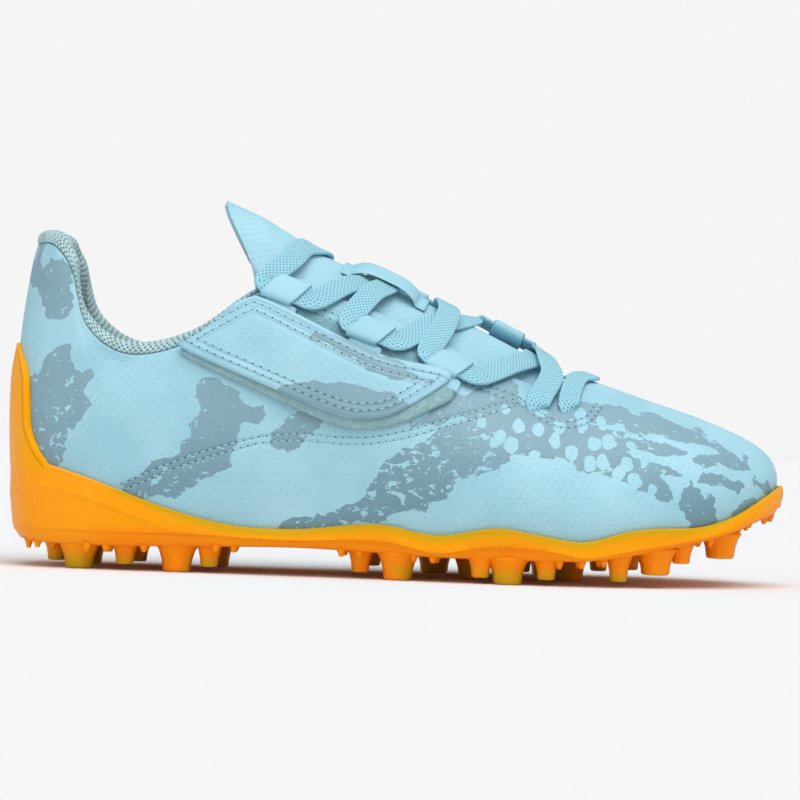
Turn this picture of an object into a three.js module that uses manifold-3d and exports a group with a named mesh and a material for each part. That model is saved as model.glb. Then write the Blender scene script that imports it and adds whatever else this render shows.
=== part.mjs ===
// A child's football shoe for the right foot, EU 33, standing empty on its studs.
// Millimetres. X runs from the heel to the toe, -Y is the outer (lateral) side, +Y the inner
// (medial) side, Z is up. The floor is Z = 0 and the origin is under the middle of the shoe.
import * as THREE from "three";
import { mergeVertices } from "three/addons/utils/BufferGeometryUtils.js";
import Module from "manifold-3d";

const wasm = await Module();
wasm.setup();

// Driving sizes of the last
const LENGTH = 226; // outside, back of the heel to tip of the toe
const BALL_WIDTH = 84; // outside of the sole, across the ball of the foot
const HEEL_HEIGHT = 96; // floor to the top of the upper at the back
const INSTEP_HEIGHT = 82.5; // floor to the top corner of the throat
const VAMP_HEIGHT = 59; // floor to the front end of the throat
const TONGUE_HEIGHT = 105; // floor to the tip of the tongue

// Driving sizes of the sole
const CUP_HEIGHT = 30; // floor to the top of the heel cup
const PLATE = 3; // thickness of the stud plate
const LIP = 1.5; // thickness of the sole's rim at its top
const BAND = 2.9; // how far the side band stands out from the foot outline
const STEP = 1.1; // how far the plate's edge is set back under the band
const STUD_RADIUS = 3.9; // at the tip of a main stud
const STUD_FLARE = 6.4; // at the root of a main stud
const STUD_HEIGHT = 6.8;
const SMALL_STUD_RADIUS = 2.4;
const SMALL_STUD_FLARE = 4;
const SMALL_STUD_SHORTFALL = 1.7; // how far a small stud stops above the main studs' tips

// Driving sizes of the upper and what is on it
const WALL = 1.8;
const CLEARANCE = 0.3;
const CAP_THICKNESS = 1.5;
const CAP_TOP = 64; // floor to the top of the heel cap
const COLLAR_ROLL = 4.2; // height of the collar's roll above the upper's edge
const COLLAR_PAD = 3.4; // thickness of the padding under the roll
const INSOLE = 3;
const TONGUE = 1.8;
const STRAP_BASE = 1.7;
const STRAP = 1.5;
const LACE_WIDTH = 7;
const LACE_THICKNESS = 1.2;
const WEBBING = 0.7; // thickness of the loops' webbing
const LOOP_WIDTH = 9.5;

// How finely the forms are divided
const COLUMNS_PER_RIB = 3;
const UPPER_ROWS = 9;
const TONGUE_COLUMNS = 16;
const TONGUE_ROWS = 11;
const STUD_SIDES = 8;
const SMALL_STUD_SIDES = 6;
const CAP_COLUMNS = 13;
const CAP_ROWS = 7;
const CORNER_STEPS = 3; // on a rounded corner of the wing
const LACE_STEPS = 9;
const TAIL_STEPS = 8;

const FACE_NUDGE = 1e-3; // step for the surfaces' slopes, as a share of their span
const HALVINGS = 24; // of the span in which a place on a surface is looked for

// Ribs of the upper, from the heel centre along the outer side to the toe and back along the
// inner side. footX and rimX are shares of the length, footY and rimY of the ball width. rim is
// the edge's height as a share of the height named by over. low and lowUp push the rib outward
// and up as it leaves the foot, high and highDown push it outward and down below its edge, as
// shares of the heel height.
const RIB_COLUMNS = ["footX", "footY", "rimX", "rimY", "rim", "over", "low", "lowUp", "high", "highDown"];
const RIBS = [
  [-0.48, 0.0, -0.472, 0.0, 0.965, HEEL_HEIGHT, 0.05, 0.29, 0.055, 0.23],
  [-0.455, -0.21, -0.446, -0.17, 0.96, HEEL_HEIGHT, 0.055, 0.29, 0.055, 0.22],
  [-0.38, -0.295, -0.42, -0.235, 0.885, HEEL_HEIGHT, 0.055, 0.27, 0.055, 0.2],
  [-0.3, -0.315, -0.397, -0.28, 0.72, HEEL_HEIGHT, 0.055, 0.24, 0.045, 0.16],
  [-0.225, -0.32, -0.342, -0.305, 0.64, HEEL_HEIGHT, 0.055, 0.22, 0.035, 0.13],
  [-0.15, -0.33, -0.262, -0.287, 0.69, HEEL_HEIGHT, 0.055, 0.23, 0.055, 0.15],
  [-0.075, -0.35, -0.177, -0.238, 0.985, INSTEP_HEIGHT, 0.06, 0.25, 0.09, 0.17],
  [0.0, -0.387, -0.112, -0.214, 0.985, INSTEP_HEIGHT, 0.07, 0.25, 0.13, 0.16],
  [0.08, -0.43, -0.013, -0.208, 0.9, INSTEP_HEIGHT, 0.08, 0.23, 0.15, 0.15],
  [0.168, -0.455, 0.088, -0.196, 1.085, VAMP_HEIGHT, 0.085, 0.21, 0.17, 0.13],
  [0.261, -0.435, 0.173, -0.167, 0.957, VAMP_HEIGHT, 0.085, 0.17, 0.19, 0.1],
  [0.354, -0.35, 0.213, -0.095, 0.99, VAMP_HEIGHT, 0.08, 0.14, 0.26, 0.09],
  [0.436, -0.195, 0.224, -0.03, 1.01, VAMP_HEIGHT, 0.08, 0.17, 0.38, 0.125],
  [0.4835, 0.048, 0.227, 0.036, 1.015, VAMP_HEIGHT, 0.082, 0.2, 0.45, 0.15],
  [0.458, 0.245, 0.22, 0.101, 1.005, VAMP_HEIGHT, 0.08, 0.17, 0.4, 0.135],
  [0.389, 0.38, 0.2, 0.173, 0.97, VAMP_HEIGHT, 0.08, 0.14, 0.29, 0.1],
  [0.301, 0.446, 0.146, 0.214, 1.025, VAMP_HEIGHT, 0.085, 0.17, 0.2, 0.1],
  [0.204, 0.452, 0.062, 0.226, 1.155, VAMP_HEIGHT, 0.085, 0.2, 0.18, 0.12],
  [0.106, 0.411, -0.035, 0.226, 0.93, INSTEP_HEIGHT, 0.075, 0.22, 0.16, 0.14],
  [0.013, 0.339, -0.119, 0.226, 0.99, INSTEP_HEIGHT, 0.06, 0.24, 0.13, 0.15],
  [-0.071, 0.3, -0.18, 0.238, 0.985, INSTEP_HEIGHT, 0.05, 0.24, 0.09, 0.16],
  [-0.15, 0.287, -0.261, 0.277, 0.69, HEEL_HEIGHT, 0.045, 0.22, 0.055, 0.14],
  [-0.226, 0.29, -0.336, 0.29, 0.645, HEEL_HEIGHT, 0.045, 0.21, 0.035, 0.12],
  [-0.305, 0.298, -0.395, 0.268, 0.725, HEEL_HEIGHT, 0.045, 0.23, 0.045, 0.15],
  [-0.385, 0.282, -0.42, 0.224, 0.885, HEEL_HEIGHT, 0.05, 0.26, 0.055, 0.19],
  [-0.455, 0.2, -0.446, 0.162, 0.96, HEEL_HEIGHT, 0.055, 0.29, 0.055, 0.22],
].map((row) => Object.fromEntries(row.map((value, k) => [RIB_COLUMNS[k], value])));

const RIB_COUNT = RIBS.length;
const TOE_RIB = RIB_COUNT / 2;
const COLUMNS = RIB_COUNT * COLUMNS_PER_RIB;

// Side of the sole. at is a share of the length; rim, step and under are the heights of the
// rim's top, of the band's lower edge and of the plate's underside, as shares of the cup height.
const SIDE_COLUMNS = ["at", "rim", "step", "under"];
const SIDE = [
  [-0.495, 0.87, 0.43, 0.25],
  [-0.446, 0.99, 0.42, 0.235],
  [-0.392, 0.9, 0.41, 0.23],
  [-0.345, 0.78, 0.405, 0.23],
  [-0.271, 0.585, 0.4, 0.245],
  [-0.2, 0.47, 0.355, 0.26],
  [-0.12, 0.46, 0.34, 0.27],
  [-0.02, 0.53, 0.38, 0.25],
  [0.055, 0.45, 0.27, 0.23],
  [0.13, 0.535, 0.38, 0.23],
  [0.19, 0.47, 0.33, 0.23],
  [0.235, 0.435, 0.265, 0.24],
  [0.288, 0.54, 0.34, 0.29],
  [0.324, 0.575, 0.39, 0.345],
  [0.38, 0.6, 0.475, 0.44],
  [0.422, 0.7, 0.57, 0.53],
  [0.467, 0.91, 0.73, 0.66],
  [0.5, 1.06, 0.83, 0.74],
].map((row) => Object.fromEntries(row.map((value, k) => [SIDE_COLUMNS[k], value])));

// Studs: at is a share of the length, over a share of the ball width.
const MAIN_STUDS = [
  { at: -0.4, over: -0.2 },
  { at: -0.4, over: 0.185 },
  { at: -0.275, over: -0.25 },
  { at: -0.235, over: 0.215 },
  { at: 0.004, over: -0.335 },
  { at: 0.052, over: 0.3 },
  { at: 0.141, over: -0.405 },
  { at: 0.2, over: 0.4 },
  { at: 0.1, over: -0.06 },
  { at: 0.225, over: 0.05 },
  { at: 0.327, over: -0.325 },
  { at: 0.34, over: 0.335 },
  { at: 0.413, over: -0.16 },
  { at: 0.425, over: 0.16 },
];
const SMALL_STUDS = [
  { at: -0.432, over: -0.1 },
  { at: -0.432, over: 0.09 },
  { at: -0.341, over: -0.245 },
  { at: -0.335, over: 0.22 },
  { at: -0.234, over: -0.26 },
  { at: -0.33, over: 0 },
  { at: -0.043, over: -0.29 },
  { at: -0.03, over: 0.25 },
  { at: 0.107, over: -0.41 },
  { at: 0.13, over: 0.38 },
  { at: 0.189, over: -0.415 },
  { at: 0.27, over: 0.4 },
  { at: 0.28, over: -0.375 },
  { at: 0.165, over: 0.14 },
  { at: 0.3, over: -0.08 },
  { at: 0.36, over: -0.29 },
];

// A smooth line through the rows of a table, read at one place along it.
function readTable(rows, column, at) {
  const last = rows.length - 1;
  if (at <= rows[0].at) return rows[0][column];
  if (at >= rows[last].at) return rows[last][column];
  const k = rows.findIndex((row) => row.at > at) - 1;
  const slope = (n) => {
    const before = rows[Math.max(n - 1, 0)];
    const after = rows[Math.min(n + 1, last)];
    return (after[column] - before[column]) / (after.at - before.at);
  };
  const span = rows[k + 1].at - rows[k].at;
  const t = (at - rows[k].at) / span;
  const ease = t * t * (3 - 2 * t);
  const value = rows[k][column] * (1 - ease) + rows[k + 1][column] * ease;
  return value + span * (slope(k) * t * (1 - t) ** 2 - slope(k + 1) * t * t * (1 - t));
}

const rimHeight = (x) => CUP_HEIGHT * readTable(SIDE, "rim", x / LENGTH);
const stepHeight = (x) => CUP_HEIGHT * readTable(SIDE, "step", x / LENGTH);
const underHeight = (x) => CUP_HEIGHT * readTable(SIDE, "under", x / LENGTH);
const floorHeight = (x) => underHeight(x) + PLATE;

const ringThrough = (points) => new THREE.CatmullRomCurve3(points, true, "catmullrom");

// A point of a ring, counted in ribs from the heel centre.
function onRing(ring, turn) {
  return ring.getPoint(THREE.MathUtils.euclideanModulo(turn / RIB_COUNT, 1));
}

// The level direction out of a ring in plan.
function outwardAt(ring, turn) {
  const nudge = FACE_NUDGE * RIB_COUNT;
  const along = onRing(ring, turn + nudge).sub(onRing(ring, turn - nudge));
  return new THREE.Vector3(along.y, -along.x, 0).normalize();
}

const footRing = ringThrough(
  RIBS.map((rib) => {
    const x = rib.footX * LENGTH;
    return new THREE.Vector3(x, rib.footY * BALL_WIDTH, floorHeight(x) + CLEARANCE);
  }),
);
const rimRing = ringThrough(
  RIBS.map((rib) => new THREE.Vector3(rib.rimX * LENGTH, rib.rimY * BALL_WIDTH, rib.rim * rib.over)),
);
const lowRing = ringThrough(
  RIBS.map((rib, k) =>
    footRing.points[k]
      .clone()
      .addScaledVector(outwardAt(footRing, k), rib.low * HEEL_HEIGHT)
      .add(new THREE.Vector3(0, 0, rib.lowUp * HEEL_HEIGHT)),
  ),
);
const highRing = ringThrough(
  RIBS.map((rib, k) =>
    rimRing.points[k]
      .clone()
      .addScaledVector(outwardAt(rimRing, k), rib.high * HEEL_HEIGHT)
      .sub(new THREE.Vector3(0, 0, rib.highDown * HEEL_HEIGHT)),
  ),
);

// A point of the upper's outer face: turn counts ribs from the heel centre, rise goes from 0 at
// the foot to 1 at the edge.
function skinPoint(turn, rise) {
  const rib = [footRing, lowRing, highRing, rimRing].map((ring) => onRing(ring, turn));
  return new THREE.CubicBezierCurve3(...rib).getPoint(rise);
}

// The frame of the outer face there: along the ring, up the rib and out of the face.
function skinFrame(turn, rise) {
  const nudge = FACE_NUDGE * RIB_COUNT;
  const along = skinPoint(turn + nudge, rise).sub(skinPoint(turn - nudge, rise)).normalize();
  const up = skinPoint(turn, Math.min(rise + FACE_NUDGE, 1))
    .sub(skinPoint(turn, Math.max(rise - FACE_NUDGE, 0)))
    .normalize();
  const out = new THREE.Vector3().crossVectors(along, up).normalize();
  return { along, up, out };
}

// The outer face moved out (or in, below zero) by a distance.
function skin(turn, rise, distance) {
  return skinPoint(turn, rise).addScaledVector(skinFrame(turn, rise).out, distance);
}

// How far up the rib the outer face reaches a height.
function riseAtHeight(turn, height) {
  let low = 0;
  let high = 1;
  for (let k = 0; k < HALVINGS; k++) {
    const middle = (low + high) / 2;
    if (skinPoint(turn, middle).z < height) low = middle;
    else high = middle;
  }
  return (low + high) / 2;
}

// A closed solid from triangles given as three points each, with faces pointing out.
function solidOf(triangles) {
  const positions = triangles.flat().flatMap((p) => [p.x, p.y, p.z]);
  const loose = new THREE.BufferGeometry();
  loose.setAttribute("position", new THREE.Float32BufferAttribute(positions, 3));
  return solidFrom(loose);
}

function solidFrom(geometry) {
  const bare = geometry.clone();
  bare.deleteAttribute("normal");
  bare.deleteAttribute("uv");
  const merged = mergeVertices(bare, 1e-3);
  const index = Array.from(merged.index.array);
  const kept = [];
  for (let k = 0; k < index.length; k += 3) {
    const [a, b, c] = index.slice(k, k + 3);
    if (a !== b && b !== c && c !== a) kept.push(a, b, c);
  }
  const build = (triVerts) =>
    new wasm.Manifold(
      new wasm.Mesh({
        numProp: 3,
        vertProperties: merged.attributes.position.array,
        triVerts: new Uint32Array(triVerts),
      }),
    );
  const made = build(kept);
  return made.volume() < 0 ? build(kept.reverse()) : made;
}

const quad = (a, b, c, d) => [
  [a, b, c],
  [a, c, d],
];

// A wall between two faces, each a grid of points: columns round or along, rows across.
function slab({ columns, rows, wrap = false, outer, inner }) {
  const steps = wrap ? columns : columns - 1;
  const face = (point) =>
    Array.from({ length: columns }, (_, i) => Array.from({ length: rows }, (_, j) => point(i, j)));
  const out = face(outer);
  const back = face(inner);
  const triangles = [];
  for (let i = 0; i < steps; i++) {
    const n = (i + 1) % columns;
    for (let j = 0; j < rows - 1; j++) {
      triangles.push(...quad(out[i][j], out[n][j], out[n][j + 1], out[i][j + 1]));
      triangles.push(...quad(back[i][j], back[i][j + 1], back[n][j + 1], back[n][j]));
    }
    triangles.push(...quad(out[i][0], back[i][0], back[n][0], out[n][0]));
    const top = rows - 1;
    triangles.push(...quad(out[i][top], out[n][top], back[n][top], back[i][top]));
  }
  if (!wrap) {
    for (const [i, flip] of [
      [0, false],
      [columns - 1, true],
    ]) {
      for (let j = 0; j < rows - 1; j++) {
        const side = quad(out[i][j], out[i][j + 1], back[i][j + 1], back[i][j]);
        triangles.push(...(flip ? side.map((t) => t.toReversed()) : side));
      }
    }
  }
  return solidOf(triangles);
}

// A solid through closed loops of points that close to a line at both ends.
function loft(loops) {
  const triangles = [];
  for (let i = 0; i < loops.length - 1; i++) {
    const count = loops[i].length;
    for (let j = 0; j < count; j++) {
      const n = (j + 1) % count;
      triangles.push(...quad(loops[i][j], loops[i][n], loops[i + 1][n], loops[i + 1][j]));
    }
  }
  return solidOf(triangles);
}

// Upper: one shell with its wall inside the outer face.
function upper() {
  const point = (distance) => (i, j) => skin(i / COLUMNS_PER_RIB, j / (UPPER_ROWS - 1), distance);
  return slab({ columns: COLUMNS, rows: UPPER_ROWS, wrap: true, outer: point(0), inner: point(-WALL) });
}

// Section of the sole's side. The lip lies on the upper: rise is a share of the rim's place up
// the rib, lip and band say how much of the lip's and the band's thickness stands off it.
const LIP_SECTION = [
  { rise: 0.5, lip: 0, band: 0 },
  { rise: 1, lip: 0, band: 0 },
  { rise: 1, lip: 1, band: 0 },
  { rise: 0.6, lip: 0.5, band: 0.5 },
];
// Below it, back is how many steps the side is set back from the band's face, up the share of
// the way from the band's lower edge to the foot, down the share of the way to the underside.
const EDGE_SECTION = [
  { back: 0, up: 0.3, down: 0 },
  { back: 0.2, up: 0, down: 0 },
  { back: 1, up: 0, down: 0.25 },
  { back: 1.6, up: 0, down: 0.7 },
  { back: 4.6, up: 0, down: 1 },
];

// Half of the sole's section at a turn, from the floor up inside the rim and down its side.
function soleProfile(turn) {
  const foot = skinPoint(turn, 0);
  const outward = outwardAt(footRing, turn);
  const topRise = riseAtHeight(turn, rimHeight(foot.x));
  const step = stepHeight(foot.x);
  const under = underHeight(foot.x);
  const side = (distance, height) =>
    foot.clone().addScaledVector(outward, distance).setZ(height);
  return [
    side(CLEARANCE, floorHeight(foot.x)),
    ...LIP_SECTION.map(({ rise, lip, band }) =>
      skin(turn, topRise * rise, CLEARANCE + lip * LIP + band * BAND),
    ),
    ...EDGE_SECTION.map(({ back, up, down }) =>
      side(BAND - back * STEP, step + up * (foot.z - step) - down * (step - under)),
    ),
  ];
}

const STUD_REACH = 1.25; // a stud reaches the floor up to this share of its height
const STUD_NECK = 0.86; // its radius under the plate, as a share of the root's
const STUD_NECK_DROP = 0.5; // how far under the plate that is
const STUD_SUNK = 0.4; // how much of the plate the root goes up into

// A round stud standing on its flat tip.
function stud({ at, over }, tip, flare, shortfall, sides) {
  const x = at * LENGTH;
  const under = underHeight(x);
  const foot = (under < STUD_HEIGHT * STUD_REACH ? 0 : under - STUD_HEIGHT) + shortfall;
  const root = under + PLATE * STUD_SUNK;
  const profile = [
    [0, foot],
    [tip, foot],
    [flare * STUD_NECK, under - STUD_NECK_DROP],
    [flare, root],
    [0, root],
  ].map(([r, z]) => new THREE.Vector2(r, z));
  const turned = new THREE.LatheGeometry(profile, sides);
  turned.rotateX(Math.PI / 2);
  turned.translate(x, over * BALL_WIDTH, 0);
  return solidFrom(turned);
}

function outsole() {
  const loops = [];
  for (let i = 0; i <= COLUMNS / 2; i++) {
    const lateral = soleProfile(i / COLUMNS_PER_RIB);
    const medial = soleProfile((COLUMNS - i) / COLUMNS_PER_RIB);
    loops.push([...lateral, ...medial.reverse()]);
  }
  const studs = [
    ...MAIN_STUDS.map((place) => stud(place, STUD_RADIUS, STUD_FLARE, 0, STUD_SIDES)),
    ...SMALL_STUDS.map((place) =>
      stud(place, SMALL_STUD_RADIUS, SMALL_STUD_FLARE, SMALL_STUD_SHORTFALL, SMALL_STUD_SIDES),
    ),
  ];
  return studs.reduce((sum, one) => sum.add(one), loft(loops));
}

// Insole: lies on the plate inside the upper's foot. up and in are shares of its thickness.
const INSOLE_EDGE = [
  { up: 0, in: 0 },
  { up: 0.6, in: 0 },
  { up: 1, in: 0.5 },
];

function insole() {
  const inset = WALL + CLEARANCE * 2;
  const half = (turn) =>
    INSOLE_EDGE.map((row) => {
      const foot = skinPoint(turn, 0);
      const height = floorHeight(foot.x) + CLEARANCE + row.up * INSOLE;
      return foot.addScaledVector(outwardAt(footRing, turn), -inset - row.in * INSOLE).setZ(height);
    });
  const loops = [];
  for (let i = 0; i <= COLUMNS / 2; i++) {
    const lateral = half(i / COLUMNS_PER_RIB);
    const medial = half((COLUMNS - i) / COLUMNS_PER_RIB);
    loops.push([...lateral, ...medial.reverse()]);
  }
  return loft(loops);
}

// Heel cap: at is the share of its height, half the ribs it reaches to each side.
const CAP_EDGE = [
  { at: 0, half: 1.45 },
  { at: 0.15, half: 1.2 },
  { at: 0.32, half: 1.02 },
  { at: 0.6, half: 0.93 },
  { at: 0.9, half: 0.8 },
  { at: 1, half: 0.62 },
];

const CAP_GAP = 1.5 * CLEARANCE; // its columns cross the upper's, so it stands off a little more

function heelCap() {
  const point = (distance) => (i, j) => {
    const share = j / (CAP_ROWS - 1);
    const turn = (i / (CAP_COLUMNS - 1) - 0.5) * 2 * readTable(CAP_EDGE, "half", share);
    const bottom = rimHeight(skinPoint(turn, 0).x) + CLEARANCE * 2;
    const height = bottom + (CAP_TOP - bottom) * share;
    return skin(turn, riseAtHeight(turn, height), distance);
  };
  return slab({
    columns: CAP_COLUMNS,
    rows: CAP_ROWS,
    outer: point(CAP_GAP + CAP_THICKNESS),
    inner: point(CAP_GAP),
  });
}

// Collar: at goes from the roll's outer foot over its top and down the padding inside. above is
// the share of the roll's height over the upper's edge, in the depth behind the outer face as a
// share of the wall and padding, rise the place up the rib where the padding lies.
const COLLAR_SECTION = [
  { above: 0.08, depth: -0.02, rise: 1 },
  { above: 0.55, depth: -0.06, rise: 1 },
  { above: 0.95, depth: 0.25, rise: 1 },
  { above: 0.95, depth: 0.8, rise: 1 },
  { above: 0.35, depth: 1.2, rise: 1 },
  { above: 0, depth: 1.2, rise: 0.875 },
  { above: 0, depth: 1.0, rise: 0.75 },
  { above: 0, depth: 0.6, rise: 0.625 },
];
const COLLAR_TOP_ROWS = COLLAR_SECTION.filter((row) => row.rise === 1).length;
const COLLAR_END = 6; // ribs from the heel centre to the collar's end on each side
const COLLAR_THINNING = 0.75; // how much of the roll and the padding is gone at the ends
const COLLAR_THINNING_POWER = 8; // how late along the collar it goes

function collar() {
  const columns = 2 * COLLAR_END * COLUMNS_PER_RIB + 1;
  const back = WALL + CLEARANCE; // depth of the upper's wall and the gap behind it
  const kept = (i) => {
    const fromMiddle = Math.abs((2 * i) / (columns - 1) - 1);
    return 1 - COLLAR_THINNING * fromMiddle ** COLLAR_THINNING_POWER;
  };
  const place = (i, above, depth, rise) => {
    const turn = i / COLUMNS_PER_RIB - COLLAR_END;
    return skin(turn, rise, -depth).addScaledVector(skinFrame(turn, rise).up, above);
  };
  return slab({
    columns,
    rows: COLLAR_SECTION.length,
    outer: (i, j) => {
      const { above, depth, rise } = COLLAR_SECTION[j];
      const inside = depth * (WALL + COLLAR_PAD);
      const thinned = inside > back ? back + (inside - back) * kept(i) : inside;
      return place(i, CLEARANCE + above * COLLAR_ROLL * kept(i), thinned, rise);
    },
    inner: (i, j) => {
      const { rise } = COLLAR_SECTION[j];
      if (rise < 1) return place(i, 0, back, rise);
      return place(i, CLEARANCE, (j / (COLLAR_TOP_ROWS - 1)) * back, rise);
    },
  });
}

// Tongue: five lines run along it from under the front of the throat to its free end. Each row
// holds, from the outer side to the inner one, the turn and rise of the upper's edge that the
// line lies under; the crown between them has its own place and height, as shares of the length
// and of the tongue's height.
const TONGUE_LINES = [
  { edge: [10.8, 0.84], side: [12, 0.9], crown: [13, 0.9] },
  { edge: [10.3, 0.84], side: [11.3, 1], crown: [13, 1] },
  { edge: [9.9, 0.84], side: [10.4, 1], crownX: 0.165, crownZ: 0.617 },
  { edge: [9, 0.84], side: [9.1, 1], crownX: 0.085, crownZ: 0.7 },
  { edge: [8, 0.84], side: [8, 1], crownX: -0.024, crownZ: 0.803 },
  { edge: [7, 0.84], side: [7, 1], crownX: -0.115, crownZ: 0.888 },
  { edge: [6.3, 0.87], side: [6.3, 1], crownX: -0.165, crownZ: 0.955 },
];
// The free end, from the outer side to the inner one: shares of the length, of the ball width
// and of the tongue's height.
const TONGUE_END = [
  { x: -0.188, y: -0.165, z: 0.765 },
  { x: -0.187, y: -0.15, z: 0.84 },
  { x: -0.2235, y: 0.015, z: 1 },
  { x: -0.19, y: 0.165, z: 0.84 },
  { x: -0.192, y: 0.175, z: 0.765 },
];
const TONGUE_DEPTH = WALL + 3 * CLEARANCE; // of the tongue's face under the upper's outer face
const CROWN_OVER = 0.02; // how far the crown lies to the inner side, as a share of the ball width

const tongueLines = TONGUE_END.map((end, line) => {
  const mirror = line > 2;
  const under = ([turn, rise]) => skin(mirror ? RIB_COUNT - turn : turn, rise, -TONGUE_DEPTH);
  const points = TONGUE_LINES.map((row) => {
    if (line === 0 || line === 4) return under(row.edge);
    if (line === 1 || line === 3) return under(row.side);
    if (row.crown) return under(row.crown);
    return new THREE.Vector3(row.crownX * LENGTH, CROWN_OVER * BALL_WIDTH, row.crownZ * TONGUE_HEIGHT);
  });
  points.push(new THREE.Vector3(end.x * LENGTH, end.y * BALL_WIDTH, end.z * TONGUE_HEIGHT));
  return new THREE.CatmullRomCurve3(points);
});

// A point of the tongue's upper face: along from its front end to its free end, across from its
// outer edge to its inner one, both from 0 to 1.
function tonguePoint(along, across) {
  const section = tongueLines.map((line) => line.getPoint(along));
  return new THREE.CatmullRomCurve3(section).getPoint(across);
}

function tongueFrame(along, across) {
  const held = (value) => THREE.MathUtils.clamp(value, 0, 1);
  const back = tonguePoint(held(along + FACE_NUDGE), across)
    .sub(tonguePoint(held(along - FACE_NUDGE), across))
    .normalize();
  const inward = tonguePoint(along, held(across + FACE_NUDGE))
    .sub(tonguePoint(along, held(across - FACE_NUDGE)))
    .normalize();
  const out = new THREE.Vector3().crossVectors(inward, back).normalize();
  return { back, inward, out };
}

const onTongue = (along, across, lift) =>
  tonguePoint(along, across).addScaledVector(tongueFrame(along, across).out, lift);

function tongue() {
  const face = (lift) => (i, j) => onTongue(i / (TONGUE_COLUMNS - 1), j / (TONGUE_ROWS - 1), lift);
  return slab({ columns: TONGUE_COLUMNS, rows: TONGUE_ROWS, outer: face(0), inner: face(-TONGUE) });
}

// Closing wing: its outline seen from the outer side, as shares of the length and the heel
// height. Corners are rounded by passing through the middles of the sides.
const WING = [
  { x: -0.285, z: 0.69 },
  { x: -0.19, z: 0.82 },
  { x: -0.165, z: 0.8 },
  { x: -0.03, z: 0.645 },
  { x: 0.075, z: 0.597 },
  { x: -0.01, z: 0.472 },
  { x: -0.065, z: 0.465 },
  { x: -0.28, z: 0.655 },
];
const WING_BASE = [
  { x: -0.278, z: 0.675 },
  { x: -0.19, z: 0.8 },
  { x: -0.165, z: 0.79 },
  { x: -0.03, z: 0.64 },
  { x: 0.082, z: 0.55 },
  { x: -0.01, z: 0.445 },
  { x: -0.07, z: 0.437 },
  { x: -0.275, z: 0.635 },
];
const WING_TURNS = [3, 11]; // ribs between which the wing lies
const WING_ROUNDING = 0.3; // share of each side that a rounded corner takes

function roundedOutline(corners) {
  const points = corners.map(({ x, z }) => new THREE.Vector2(x * LENGTH, z * HEEL_HEIGHT));
  const shape = new THREE.Shape();
  points.forEach((corner, k) => {
    const before = points.at(k - 1);
    const after = points[(k + 1) % points.length];
    const start = corner.clone().lerp(before, WING_ROUNDING);
    const end = corner.clone().lerp(after, WING_ROUNDING);
    if (k === 0) shape.moveTo(start.x, start.y);
    else shape.lineTo(start.x, start.y);
    shape.quadraticCurveTo(corner.x, corner.y, end.x, end.y);
  });
  return shape;
}

// One layer of the wing: the wall between two distances from the upper, inside the outline.
function wingLayer(outline, from, thickness) {
  const columns = (WING_TURNS[1] - WING_TURNS[0]) * COLUMNS_PER_RIB + 1;
  const face = (distance) => (i, j) =>
    skin(WING_TURNS[0] + i / COLUMNS_PER_RIB, j / (UPPER_ROWS - 1), distance);
  const wall = slab({
    columns,
    rows: UPPER_ROWS,
    outer: face(from + thickness),
    inner: face(from),
  });
  const prism = new THREE.ExtrudeGeometry(roundedOutline(outline), {
    depth: BALL_WIDTH,
    bevelEnabled: false,
    curveSegments: CORNER_STEPS,
  });
  prism.rotateX(Math.PI / 2);
  return wall.intersect(solidFrom(prism));
}

const strapBase = () => wingLayer(WING_BASE, CLEARANCE, STRAP_BASE);
const strap = () => wingLayer(WING, STRAP_BASE + 2 * CLEARANCE, STRAP);

// The place on the outer side of the upper that is seen at a given length and height.
function lateralSite(x, z) {
  let low = WING_TURNS[0];
  let high = TOE_RIB - 1;
  for (let k = 0; k < HALVINGS; k++) {
    const middle = (low + high) / 2;
    if (skinPoint(middle, riseAtHeight(middle, z)).x < x) low = middle;
    else high = middle;
  }
  return { turn: low, rise: riseAtHeight(low, z) };
}

// A flat strip through sites, each a point on the strip's middle and the direction out of it.
function ribbon(sites, width, thickness, steps) {
  const line = new THREE.CatmullRomCurve3(sites.map((site) => site.point));
  const outs = new THREE.CatmullRomCurve3(
    sites.map((site) => site.out),
    false,
    "catmullrom",
  );
  const place = (i, side, lift) => {
    const t = i / steps;
    const out = outs.getPoint(t).normalize();
    const across = new THREE.Vector3().crossVectors(out, line.getTangent(t)).normalize();
    return line.getPoint(t).addScaledVector(across, side).addScaledVector(out, lift);
  };
  const face = (lift) => (i, j) => place(i, (j - 0.5) * width, lift);
  return slab({ columns: steps + 1, rows: 2, outer: face(thickness / 2), inner: face(-thickness / 2) });
}

// Loops that hold the lace. A loop is a flat sleeve of webbing whose opening runs along it.
const SLEEVE_HEIGHT = LACE_WIDTH + 2 * (WEBBING + CLEARANCE);
const SLEEVE_DEPTH = LACE_THICKNESS + 2 * (WEBBING + CLEARANCE);
const LOOP_LIFT = CLEARANCE * 2 + SLEEVE_DEPTH / 2; // of a sleeve's middle over what it lies on

const SLEEVE_BEVEL = 0.3; // of its corners, as a share of its depth

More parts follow.
